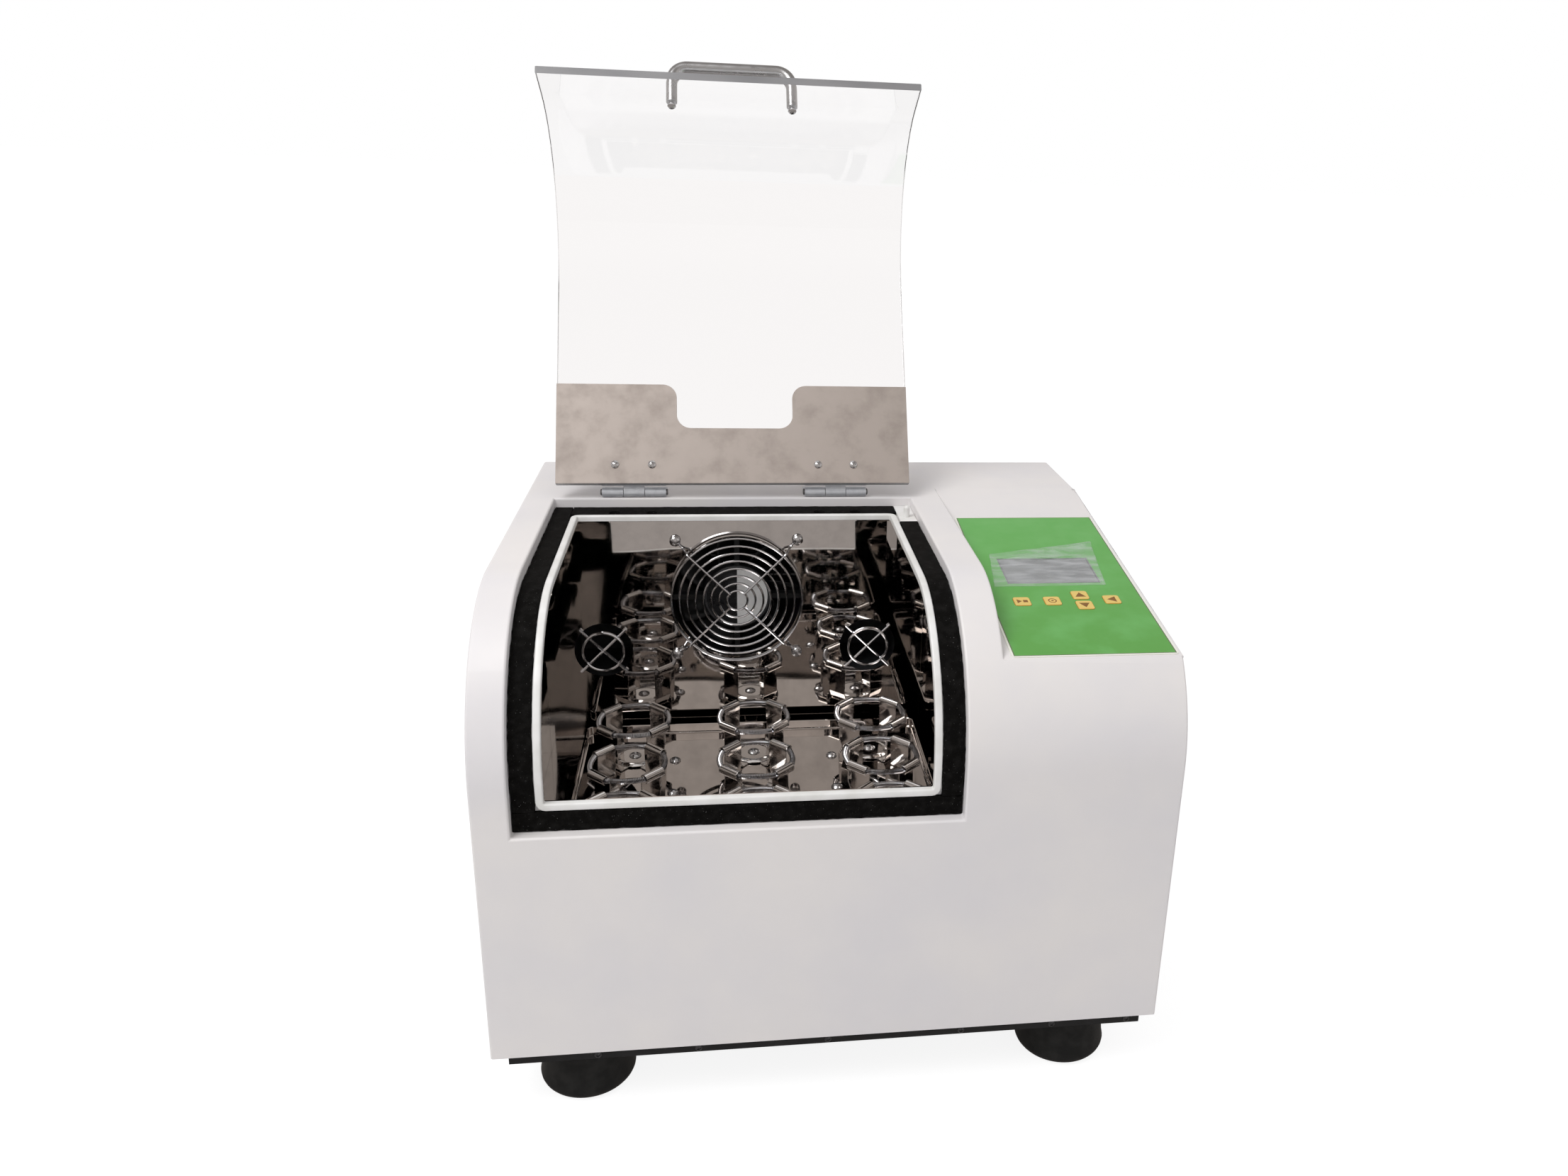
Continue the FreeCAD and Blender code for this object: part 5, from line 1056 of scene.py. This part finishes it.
def eased(name, body, finish, width):
    mesh = bmesh.new()
    mesh.from_mesh(nodes[name].data)
    for face in mesh.faces:
        face.material_index = 0
    bmesh.ops.remove_doubles(mesh, verts=mesh.verts, dist=1e-6)
    bmesh.ops.dissolve_limit(
        mesh, angle_limit=math.radians(1.0), verts=mesh.verts, edges=mesh.edges)
    data = bpy.data.meshes.new(name + "_eased")
    mesh.to_mesh(data)
    mesh.free()
    data.materials.append(finish.material)
    piece = bpy.data.objects.new(name + "_eased", data)
    bpy.context.scene.collection.objects.link(piece)
    return settle(piece, body, name, 35, width)


for name, finish in {
        "chamber_liner": mirror, "insulation": slab, "air_plenum": plenum_shade, "air_heater": turned,
        "drive_frame": zinc, "bearing_housings": cast, "crank_bearings": bearing_steel,
        "drive_belt": belt, "motor": cast, "crank_shaft": turned, "main_pulley": cast,
        "motor_pulley": cast, "crank_link_1": turned, "crank_link_2": turned,
        "crank_link_3": turned, "platform_bearings": bearing_steel, "power_supply": zinc,
        "control_board": board, "fan_frame": black_plastic, "lid_panel": acrylic}.items():
    dressed(name, finish)
eased("rear_panel", "root", powder, 0.3)
eased("base_tray", "root", black_paint, 0.5)
eased("power_inlet", "root", black_plastic, 0.5)
print("nodes carried over")

# %% [markdown]
# The fan sits behind the chamber's rear wall. Its guard is spot-welded from plated wire: eight
# rings on four bent arms, each arm ending in an eye for a screw. The outer ring is doubled, as
# the strongest one is on the real guard.

# %% Fan guard
guard = Shape()
ring_count, inner_ring, ring_span = 8, 9, 47.5
ring_y, arm_y, outer_y, eye_y = 56.9, 55.4, 58.9, 64.8
ring_wire, arm_wire, arm_bend = 1.0, 1.1, 3.5
screw_offset, eye_radius = 52.4, 3.35
eye_reach = screw_offset * math.sqrt(2)


def wire_ring(shape, centre, radius, depth, thickness, steps):
    """A ring of wire in an upright plane, at a depth along the casing's Y."""
    angles = [2 * math.pi * k / steps for k in range(steps)]
    path = [Vector((centre[0] + radius * math.cos(a), depth, centre[1] + radius * math.sin(a)))
            for a in angles]
    shape.join(tube(path, thickness, 8, closed=True))


for index in range(ring_count):
    radius = inner_ring + index * ring_span / (ring_count - 1)
    wire_ring(guard, (fan_x, fan_z), radius, ring_y, ring_wire, 32 + 8 * index)
wire_ring(guard, (fan_x, fan_z), 56.3, outer_y, arm_wire, 88)
fan_middle = Vector((fan_x, 0, fan_z))
for quarter in range(4):
    angle = math.radians(45 + 90 * quarter)
    out = Vector((math.cos(angle), 0, math.sin(angle)))
    path = [fan_middle + out * reach + Vector((0, depth, 0)) for reach, depth in (
        (8.4, arm_y), (59, arm_y), (65.5, eye_y), (eye_reach - eye_radius, eye_y))]
    guard.join(tube(bent(path, arm_bend), arm_wire, 8))
    eye = (fan_x + out.x * eye_reach, fan_z + out.z * eye_reach)
    wire_ring(guard, eye, eye_radius, eye_y, arm_wire, 24)
make("fan_guard_wires", guard, "root", wire, "fan_guard")
guard_eyes = [
    ((fan_x + side * screw_offset, eye_y - arm_wire, fan_z + up_down * screw_offset), (0, -1, 0))
    for side in (-1, 1) for up_down in (-1, 1)]
screws("fan_guard_screws", guard_eyes, 4.6, 3.2, 2.2, 12, "root", "fan_screws", seed=3)

# %% [markdown]
# The fan itself has seven swept blades on a hub. A blade is a thin curved sheet that twists from
# root to tip. The fixed boss in front carries a round foil sticker, half dark and half pale.

# %% Fan rotor and its sticker
rotor = lathe([(29, 103.3), (29, 77.6), (28.2, 76.8), (12, 76.8), (12, 79), (0, 79)][::-1], 64)
rotor.join(lathe([(26, 103.2), (26, 80)][::-1], 48))
blades = Shape()
blade_count, blade_root, blade_tip, blade_front = 7, 28.6, 54.4, 79.5
rows, columns = 7, 9
for blade in range(blade_count):
    start = 2 * math.pi * blade / blade_count
    grid = []
    for i in range(rows):
        radius = blade_root + (blade_tip - blade_root) * i / (rows - 1)
        span = math.radians(38 + 6 * i / (rows - 1))
        for j in range(columns):
            share = j / (columns - 1)
            angle = start + span * (share - 0.5) + 0.05 * i
            depth = blade_front + 21 * share + 2.2 * math.sin(math.pi * share)
            grid.append((radius * math.cos(angle), radius * math.sin(angle), depth))
    faces = [(i * columns + j, i * columns + j + 1, (i + 1) * columns + j + 1,
              (i + 1) * columns + j) for i in range(rows - 1) for j in range(columns - 1)]
    blades.add(grid, faces)
along_y = shift(fan_x, 0, fan_z) @ Matrix.Rotation(math.radians(-90), 4, "X")
turned_hub = Shape().join(rotor, along_y)
make("fan_hub", turned_hub, "circulation_fan", black_plastic, "fan_rotor")
vanes = make("fan_blades", Shape().join(blades, along_y), "circulation_fan",
             black_plastic, open_skin=True)
vanes.modifiers.clear()
vane_skin = vanes.modifiers.new("blade thickness", "SOLIDIFY")
vane_skin.thickness = 1.5 * MM
vane_skin.offset = 0

sticker = Finish("foil_sticker", paint(150, 150, 152), Roughness=0.3)
spot_x, _, spot_z = sticker.axes()
pale_side = spot_x - fan_x * MM < 0
rim = sticker.node("ShaderNodeVectorMath", {"operation": "LENGTH"}, {
    0: sticker.node("ShaderNodeCombineXYZ", inputs={
        0: spot_x - fan_x * MM, 2: spot_z - fan_z * MM})}, output=1)
halves = sticker.mix(paint(244, 243, 241), paint(22, 23, 26), pale_side)
sticker.set(Base_Color=sticker.mix(halves, paint(60, 60, 62), rim > 26.6 * MM))
sticker.rubbed(0.2, 0.4, 8)
disc = Shape().join(lathe([(0, -0.3), (28.2, -0.3), (28.3, -0.1), (28.2, 0), (0, 0)], 64),
                    shift(fan_x, 66.6, fan_z) @ Matrix.Rotation(math.radians(90), 4, "X"))
make("fan_sticker", disc, "root", sticker)

# %% [markdown]
# Left and right of the fan, the air comes back through two round holes, each guarded by one ring
# on two crossed wires.

# %% Return vents
vents = Shape()
vent_offset, vent_drop, vent_wire, spider_reach = 116.2, 48, 1.4, 28
for side in (-1, 1):
    x, z = fan_x + side * vent_offset, fan_z - vent_drop
    wire_ring(vents, (x, z), 17.5, 62.5, vent_wire, 56)
    for slant in (-1, 1):
        end = Vector((math.cos(math.pi / 4), 0, slant * math.sin(math.pi / 4))) * spider_reach
        middle = Vector((x, 64.5, z))
        vents.join(tube([middle - end, middle, middle + end], vent_wire, 8))
make("vent_wires", vents, "root", wire, "vent_guards")
print("fan and vents made")

# %% [markdown]
# The platform is a shallow polished tray with its lip turned up. Below it are the bores of the
# hubs for its bearings, which only show when one looks up under it.

# %% Platform tray
tray_box = (-199, 91, -184.5, 51.5)


def tray_loop(inset, z):
    x0, x1, y0, y1 = tray_box
    return [(x, y, z) for x, y in rounded(
        x0 + inset, x1 - inset, y0 + inset, y1 - inset, 6 - min(inset, 4), 6)]


tray = stack([tray_loop(inset, z) for inset, z in (
    (3.0, 168.5), (1.3, 168.8), (0.35, 169.8), (0, 171.2), (0, 177.7), (0.3, 178), (1.2, 178),
    (1.5, 177.7), (1.5, 171.6), (1.8, 170.7), (2.6, 170.15), (3.6, 170))])
hubs = [(platform_centre[0], platform_centre[1], 20, 14)]
hubs += [(platform_centre[0] + dx, y, 13.5, 9.5)
         for dx, y in ((-104.98, -110.5), (104.98, -110.5), (0, 31.5))]
for x, y, outer, inner in hubs:
    tray.join(lathe_band([(outer, 157.9), (outer - 0.4, 157.5), (inner + 0.4, 157.5),
                            (inner, 157.9), (inner, 168.5), (outer, 168.5)], 48, shift(x, y, 0)))
make("platform_tray", tray, "platform", tray_mirror, "platform", sharp=30)

clamp_pitch = (100.05, 76)
tray_screws = [((platform_centre[0] + dx, y, platform_z), (0, 0, 1))
               for dx in (-66.55, 66.55) for y in (-112.5, -57.5, -2.5)]
clamp_places = [
    (platform_centre[0] + column * clamp_pitch[0], platform_centre[1] - 6 + row * clamp_pitch[1])
    for row in (-1, 0, 1) for column in (-1, 0, 1)]
screws("tray_screws", tray_screws, 4.6, 3.2, 2.2, 3, "platform", "platform_screws", seed=5)
screws("clamp_screws", [((x, y, platform_z + 3), (0, 0, 1)) for x, y in clamp_places],
       5.0, 2.6, 2.0, 3, "platform", seed=8)

# %% [markdown]
# A flask clamp is four bent strips under a pressed dish, set at the diagonals. Each strip flares
# out, rises, and curls into a tube at its top, and a close-wound spring is threaded through the
# four curls, which makes the ring look eight-sided. The spring holds the flask, so its fine coils
# are wound here turn by turn.

# %% One flask clamp
ring_flat, curl_half, spring_flat = 28.8, 9.0, 28.3
curl_z, curl_radius, strip_thickness = 36, 3.4, 0.9


def strip_path():
    """The leg's middle line as (radius, height, half width)."""
    rise = ring_flat - curl_radius
    line = bent([(4, 0, 0.6), (23.4, 0, 0.6), (26.4, 0, 8.2), (rise, 0, curl_z - 4),
                 (rise, 0, curl_z)], 3.2, 15)
    points = [(p.x, p.z) for p in line]
    points += [(ring_flat + curl_radius * math.cos(a), curl_z + curl_radius * math.sin(a))
               for a in (math.radians(180 - 12 * k) for k in range(1, 21))]
    made = []
    for r, z in points:
        half = 7.2 + 1.8 * min(1, max(0, (r - 8) / 14)) if z < 5 else curl_half
        made.append((r, z, half))
    return made


def clamp_leg():
    path = strip_path()
    loops = []
    for i, (r, z, half) in enumerate(path):
        r0, z0, _ = path[max(i - 1, 0)]
        r1, z1, _ = path[min(i + 1, len(path) - 1)]
        length = math.hypot(r1 - r0, z1 - z0)
        half_thick = strip_thickness / 2
        nr, nz = -(z1 - z0) / length * half_thick, (r1 - r0) / length * half_thick
        loops.append([(r - nr, -half, z - nz), (r - nr, half, z - nz), (r + nr, half, z + nz),
                      (r + nr, -half, z + nz)])
    return stack(loops)


def diagonal(quarter):
    return Matrix.Rotation(math.pi / 2 * (quarter + 0.5), 4, "Z")


clamp = Shape()
for quarter in range(4):
    clamp.join(clamp_leg(), diagonal(quarter))
clamp.join(lathe([(0, 1.9), (13.2, 1.9), (16.2, 1.05), (17, 1.05), (17.05, 1.35), (16.5, 1.75),
                  (14.2, 2.6), (13.4, 2.9), (12.6, 3.0), (0, 3.0)], 56))
first_clamp = None
for number, (x, y) in enumerate(clamp_places, 1):
    place = metres(shift(x, y, platform_z))
    name, node = f"clamp_body_{number}", f"flask_clamp_{number}"
    if first_clamp:
        twin(first_clamp, name, "platform", node, place)
    else:
        first_clamp = make(name, clamp, "platform", clamp_steel, node,
                           sharp=38, ease=0.22, place=place)

spring = Shape()
wire_radius, coil_radius, turns, points_per_turn = 0.5, 1.85, 24, 9
low, high = Vector((ring_flat, curl_half - 0.6)), Vector((curl_half - 0.6, ring_flat))
sagitta = spring_flat + 0.5 - (low + high).length / 2
bow = ((high - low).length ** 2 / 4 + sagitta ** 2) / (2 * sagitta)
bow_centre = (spring_flat + 0.5 - bow) / math.sqrt(2)
spread = math.asin((high - low).length / 2 / bow)
for quarter in range(4):
    corner = diagonal(quarter)
    path = []
    for k in range(turns * points_per_turn + 1):
        share = k / (turns * points_per_turn)
        angle = math.pi / 4 + spread * (2 * share - 1)
        coil = 2 * math.pi * turns * share
        reach = bow + coil_radius * math.cos(coil)
        path.append(corner @ Vector((
            bow_centre + reach * math.cos(angle), bow_centre + reach * math.sin(angle),
            curl_z + coil_radius * math.sin(coil))))
    spring.join(tube(path, wire_radius, 5))
    inner_run = [(ring_flat, side * curl_half, curl_z) for side in (-1, 0, 1)]
    spring.join(tube(inner_run, 2.2, 12), corner)
first_spring = None
for number, (x, y) in enumerate(clamp_places, 1):
    place = metres(shift(x, y, platform_z))
    if first_spring:
        twin(first_spring, f"clamp_spring_{number}", "platform", (), place)
    else:
        first_spring = make(f"clamp_spring_{number}", spring, "platform", wire,
                            "clamp_springs", place=place)
print("clamp faces", len(clamp.faces), "spring faces", len(spring.faces))

# %% [markdown]
# The lid is one 6 mm acrylic sheet bent hot over a former, so it keeps the casing's curve. Its
# sharp edges are broken. It is drawn closed and then swung open about the hinge.

# %% Lid and handle
pivot = shift(0, hinge_y, hinge_z)
swung = pivot @ Matrix.Rotation(math.radians(-lid_angle), 4, "X") @ pivot.inverted()
lid_x = (-218.0, 85.0)
lid_line = [at_height(229.0), 0.0] + [arc_length * k / 48 for k in range(1, 49)] + [at_depth(85.0)]
soft, lid_inner = 0.5, -6
lid_section = [
    (lid_x[0], lid_inner + soft), (lid_x[0] + soft, lid_inner), (lid_x[1] - soft, lid_inner),
    (lid_x[1], lid_inner + soft), (lid_x[1], -soft), (lid_x[1] - soft, 0), (lid_x[0] + soft, 0),
    (lid_x[0], -soft)]
lid_loops = [[on_sheet(x, t, h) for x, h in lid_section] for t in lid_line]
panel = Shape().join(stack(lid_loops), swung)
sides_of_section, cut_sides, edge_kind = len(lid_section), ({0, 7}, {3, 4}), 1
for index, face in enumerate(panel.faces):
    corners = {i % sides_of_section for i in face}
    if corners in cut_sides or len(face) == sides_of_section:
        panel.kinds[index] = edge_kind
make("lid_sheet", panel, "lid", (acrylic, acrylic_edge), "lid_panel", sharp=30)
eased("lid_bracket", "lid", satin, 0.25)

handle_angle = math.asin(7 / shoulder_radius)
outward = Vector((0, -math.cos(handle_angle), math.sin(handle_angle)))
handle_foot = Vector(((lid_x[0] + lid_x[1]) / 2, shoulder_y, z_shoulder)) + outward * shoulder_radius
across, handle_reach, handle_bend = Vector((49, 0, 0)), 30, 13
handle_path = bent([handle_foot - across, handle_foot - across + outward * handle_reach,
                    handle_foot + across + outward * handle_reach, handle_foot + across],
                   handle_bend, 7)
handle = Shape().join(tube(handle_path, 4.5, 20), swung)
make("handle_rod", handle, "lid", handle_steel, "lid_handle", ease=0.3, sharp=60)

plate_z = 369.5
lid_spots = [(Vector((x + side * lid_screw_offset, lid_screw_y, plate_z)), Vector((0, 0, -1)))
             for x in hinge_x for side in (-1, 1)]
handle_spots = [(handle_foot + across * side - outward * 6.1, -outward) for side in (-1, 1)]
turn_only = swung.to_3x3()
screws("lid_plate_screws", [(swung @ spot, turn_only @ way) for spot, way in lid_spots],
       3.4, 1.8, 2.0, 9, "lid", "lid_screws", seed=13)
screws("handle_screws", [(swung @ spot, turn_only @ way) for spot, way in handle_spots],
       3.5, 3.0, 2.0, 13, "lid", seed=14)

# %% [markdown]
# Two cast hinges carry the lid. Their barrels are round and their leaves flat, and the dark ends
# of the steel pins show at both sides.

# %% Hinges
eased("hinge_casing_leaves", "root", hinge_grey, 0.35)
eased("hinge_lid_leaves", "lid", hinge_grey, 0.35)
pins = Shape()
for x in hinge_x:
    pin = [(0, -28.5), (2.2, -28.5), (2.8, -28.1), (2.8, -27.1), (2, -27), (2, 27), (2.8, 27.1),
           (2.8, 28.1), (2.2, 28.5), (0, 28.5)]
    pins.join(lathe(pin, 24, shift(x, hinge_y, hinge_z) @ Matrix.Rotation(math.pi / 2, 4, "Y")))
make("hinge_pins_turned", pins, "root", turned, "hinge_pins")
print("lid and hinges made")

# %% [markdown]
# The overlay on the ramp is a printed plastic film: a white margin, a thin dark outline and a
# green field. Its printing depends on the distance from the edge, which comes from the film's own
# coordinates.

# %% Printed overlay
label_box = (6.2, 128.4, 65.2, 300.4)
label_half = ((label_box[1] - label_box[0]) / 2, (label_box[3] - label_box[2]) / 2)
white_margin, outline_end, film_top, film_foot, window_room = 1.5, 2.3, 0.6, 0.02, 0.3
ramp_object = metres(ramp_place)
overlay = Finish("printed_overlay", paint(106, 174, 95), Roughness=0.4, Specular_IOR_Level=0.35)
label_x, label_y, _ = overlay.axes()
mid_x, mid_y = (label_box[0] + label_box[1]) / 2, -(label_box[2] + label_box[3]) / 2
from_edge = (label_half[0] * MM - abs(label_x - mid_x * MM)).math(
    "MINIMUM", label_half[1] * MM - abs(label_y - mid_y * MM))
# Painted shade: the green field is lighter at the top of the ramp and darker towards its foot.
green = overlay.mix(paint(101, 173, 88), paint(94, 162, 74), overlay.ramp(
    (label_y / MM + 297) / 230, (0.0, 1), (0.9, 0)))
green = overlay.mix(green, paint(106, 176, 94), overlay.ramp(
    overlay.noise(30, detail=3), (0.45, 0), (0.7, 1)))
lined = overlay.mix(green, paint(104, 116, 88), from_edge < outline_end * MM)
overlay.set(Base_Color=overlay.mix(lined, paint(236, 236, 226), from_edge < white_margin * MM))
overlay.rubbed(0.3, 0.44, 16)
overlay.bump(overlay.noise(0.6, detail=2), 0.012, 0.6)

label = Shape()
outline = rounded(label_box[0], label_box[1], -label_box[3], -label_box[2], 3.0, 6)
window = [(x + dx * window_room, y + dy * window_room) for (x, y), (dx, dy) in zip(
    display_hole, ((-1, -1), (1, -1), (1, 1), (-1, 1)))]
cuts = [window] + [key_hole(name) for name in keys]
filled(label, outline, cuts, shift(0, 0, film_top))
for loop in [outline] + cuts:
    walls = [[(x, y, z) for x, y in loop] for z in (film_foot, film_top)]
    label.join(stack(walls, False, False))
make("overlay_film", label, "root", overlay, "control_label", sharp=40,
     place=ramp_object)

# %% [markdown]
# The display is a grey window with a thin darker border, in shade along its top and right edges.
# The maker's protective film was never peeled off it: it lies a little askew, lifted and crumpled
# along its upper edge.

# %% Display and its protective film
glass = Finish("display_glass", paint(158, 160, 165), Roughness=0.22, IOR=1.5)
glass_x, glass_y, _ = glass.axes()
window_half = ((display[1] - display[0]) / 2 - window_room,
               (display[3] - display[2]) / 2 - window_room)
window_mid = ((display[0] + display[1]) / 2, -(display[2] + display[3]) / 2)
glass_edge = (window_half[0] * MM - abs(glass_x - window_mid[0] * MM)).math(
    "MINIMUM", window_half[1] * MM - abs(glass_y - window_mid[1] * MM))
shade = glass.mix(paint(128, 131, 131), paint(114, 117, 118), glass.ramp(
    glass.noise(26, detail=2), (0.35, 0), (0.65, 1)))
framed = glass.mix(shade, paint(104, 107, 108), glass_edge < 0.9 * MM)
in_shade = (glass_x - (display[1] - 1.5) * MM).math(
    "MAXIMUM", glass_y + (display[2] + 1.9) * MM) > 0
glass.set(Base_Color=glass.mix(framed, paint(74, 78, 78), in_shade))
glass.set(Coat_Weight=0.3)
window_block = slab_of(display[0], display[1], -display[3], -display[2], -6.6, 0.4, 0.4, 0.25, 3)
make("display_window", window_block, "root", glass, "lcd_display",
     place=ramp_object)

film_corners = ((15.2, 195.2), (104.9, 194.4), (22.2, 138.3), (113.5, 116.1))
creases = random.Random(21)
folds = [(creases.uniform(0, 1), creases.uniform(-0.8, 0.8), creases.uniform(0.25, 0.7),
          creases.uniform(0.02, 0.05)) for _ in range(9)]
sheet_rows, sheet_columns = 34, 56
points, faces = [], []
low_left, low_right, high_left, high_right = (Vector(c) for c in film_corners)
for j in range(sheet_rows + 1):
    v = j / sheet_rows
    for i in range(sheet_columns + 1):
        u = i / sheet_columns
        spot = (low_left.lerp(low_right, u)).lerp(high_left.lerp(high_right, u), v)
        lift = 0.75 + 0.1 * math.sin(9 * u + 5 * v)
        for middle, slant, tall, wide in folds:
            away = (v - 0.82 - 0.25 * (middle - 0.5)) + slant * 0.35 * (u - middle)
            reach = max(0.0, v - 0.45) / 0.55 + 0.12
            lift += tall * reach * math.exp(-(away / wide) ** 2)
        points.append((spot.x, -spot.y, lift))
for j in range(sheet_rows):
    for i in range(sheet_columns):
        a = j * (sheet_columns + 1) + i
        faces.append((a, a + 1, a + sheet_columns + 2, a + sheet_columns + 1))
film.set(Alpha=film.ramp(film.noise(14, detail=2, stretch=(0.6, 2, 1)), (0.4, 0.07), (0.75, 0.28)))
cover = make("display_film", Shape().add(points, faces), "root", film,
             place=ramp_object, sharp=50, open_skin=True)
cover_skin = cover.modifiers.new("film thickness", "SOLIDIFY")
cover_skin.thickness = 0.05 * MM

# %% [markdown]
# Five raised membrane keys stand in the film's holes. Each has its own plain printed symbol, drawn
# as a small sum of distances from the key's middle.

# %% Keys
def key_finish(name):
    made = Finish("key_" + name, paint(232, 196, 92), Roughness=0.36)
    x, y, _ = made.axes()
    x, y = x / MM, y / MM
    if name in ("up", "down"):
        tall = y if name == "up" else y * -1
        mark = ((4.0 - tall - abs(x) * 1.63).math("MINIMUM", tall + 3.0)) > 0
    elif name == "shift":
        mark = ((x + 3.9 - abs(y) * 1.63).math("MINIMUM", 3.1 - x)) > 0
    elif name == "start":
        arrow = (0.0 - abs(y) * 1.35 - x).math("MINIMUM", x + 4.0)
        square = (1.8 - abs(x - 2.6)).math("MINIMUM", 1.8 - abs(y))
        mark = arrow.math("MAXIMUM", square) > 0
    else:
        away = (x * x + y * y) ** 0.5
        mark = (0.45 - abs(away - 2.9)).math("MAXIMUM", 1.0 - away) > 0
    edge = made.mix(paint(228, 196, 110), paint(214, 168, 78), (abs(x) - key_half[0]).math(
        "MAXIMUM", abs(y) - key_half[1]) > -0.5)
    made.set(Base_Color=made.mix(edge, paint(130, 88, 28), mark))
    made.rubbed(0.3, 0.45, 3)
    made.bump(made.noise(0.5), 0.01, 0.5)
    return made


for name, (key_x, key_down) in keys.items():
    cap = slab_of(-key_half[0], key_half[0], -key_half[1], key_half[1], -1.5, 1.1, key_corner, 0.4)
    make("key_cap_" + name, cap, "key_" + name, key_finish(name), "key_" + name,
         place=metres(ramp_place @ shift(key_x, -key_down, 0)))
print("controls made")

# %% [markdown]
# The lid switch is a white tile at the rear corner of the ledge, with a round pin that the closing
# lid pushes down.

# %% Lid switch
eased("lid_switch_body", "root", white_plastic, 0.4)
pin_radius, pin_foot, pin_tip = 2.6, 353.5, 379.0
dome_z = pin_tip - pin_radius
pin = lathe([(0, pin_foot), (pin_radius - 0.3, pin_foot), (pin_radius, pin_foot + 0.3)] + [
    (pin_radius * math.cos(a), dome_z + pin_radius * math.sin(a)) for a in (
        math.radians(15 * k) for k in range(6))] + [(0, pin_tip)], 28, shift(79, 53.5, 0))
make("switch_pin", pin, "lid_plunger", white_plastic, "lid_switch_plunger")

# %% [markdown]
# The machine stands on four moulded rubber feet. Each is bolted up through its middle, so a bolt
# head shows from below. Small cross-head screws hold the tray and rear panel.

# %% Feet and casing screws
foot = [(9.0, 0.8), (9.8, 0)]
sole_round, sole_middle = 7.6, 27.4
foot += [(sole_middle + sole_round * math.sin(a), sole_round - sole_round * math.cos(a)) for a in (
    math.radians(15 * k) for k in range(7))]
foot += [(34.0, 12.0), (31.1, 42.3), (30.4, 43), (4, 43), (4, 24), (8.6, 24), (9.0, 23.6)]
foot_x, foot_y = 183, 170.5
foot_places = [(across * foot_x, along * foot_y) for across in (-1, 1) for along in (-1, 1)]
feet = Shape()
for x, y in foot_places:
    feet.join(lathe_band(foot, 72, shift(x, y, 0)))
make("moulded_feet", feet, "root", rubber, "rubber_feet", sharp=40)

strip = [((-233 + 466 * share, -210.5, 46.5), (0, -1, 0)) for share in (
    0.133, 0.286, 0.488, 0.702, 0.852, 0.978)]
rear = [((side * 238, 207.5, 50 + 327 * share), (0, 1, 0))
        for side in (-1, 1) for share in (0.1, 0.5, 0.9)]
screws("casing_screws", rear, 2.6, 1.8, 1.5, 6, "root", "body_screws", seed=31)
screws("strip_screws", strip, 2.6, 1.8, 1.5, 6, "root", seed=32, finish=black_zinc)
bolts = Shape()
for x, y in foot_places:
    hexagon = [(6.5 * math.cos(math.radians(60 * k)), 6.5 * math.sin(math.radians(60 * k)))
               for k in range(6)]
    bolts.join(stack([[(px * s, py * s, z) for px, py in hexagon]
                      for s, z in ((0.93, 19), (1, 19.4), (1, 24))]), shift(x, y, 0))
    bolts.join(lathe([(0, 19), (4, 19.2), (4, 50), (0, 50)], 20, shift(x, y, 0)))
    bolts.join(stack([[(px * 1.07, py * 1.07, z) for px, py in hexagon] for z in (45, 50)]),
               shift(x, y, 0))
make("foot_bolts", bolts, "root", screw_steel, ease=0.2)

# %% [markdown]
# At the back, the inlet and the power switch sit in one moulded body. The rocker carries the usual
# line and ring.

# %% Power rocker
rocker_finish = Finish("rocker_black", paint(20, 20, 21), Roughness=0.35)
rock_x, _, rock_z = rocker_finish.axes()
rocker_x, rocker_z = 175.0, 125.0
rock_x, rock_z = rock_x / MM - rocker_x, rock_z / MM - rocker_z
ring_away = (rock_x * rock_x + (rock_z + 3.0) * (rock_z + 3.0)) ** 0.5
line_mark = (0.3 - abs(rock_x)).math("MINIMUM", 1.5 - abs(rock_z - 3.0))
marks = (0.28 - abs(ring_away - 1.4)).math("MAXIMUM", line_mark) > 0
rocker_finish.set(Base_Color=rocker_finish.mix(paint(20, 20, 21), paint(225, 225, 225), marks))
rocker_finish.bump(rocker_finish.noise(0.5), 0.02, 0.5)
eased("power_rocker", "rocker", rocker_finish, 0.3)
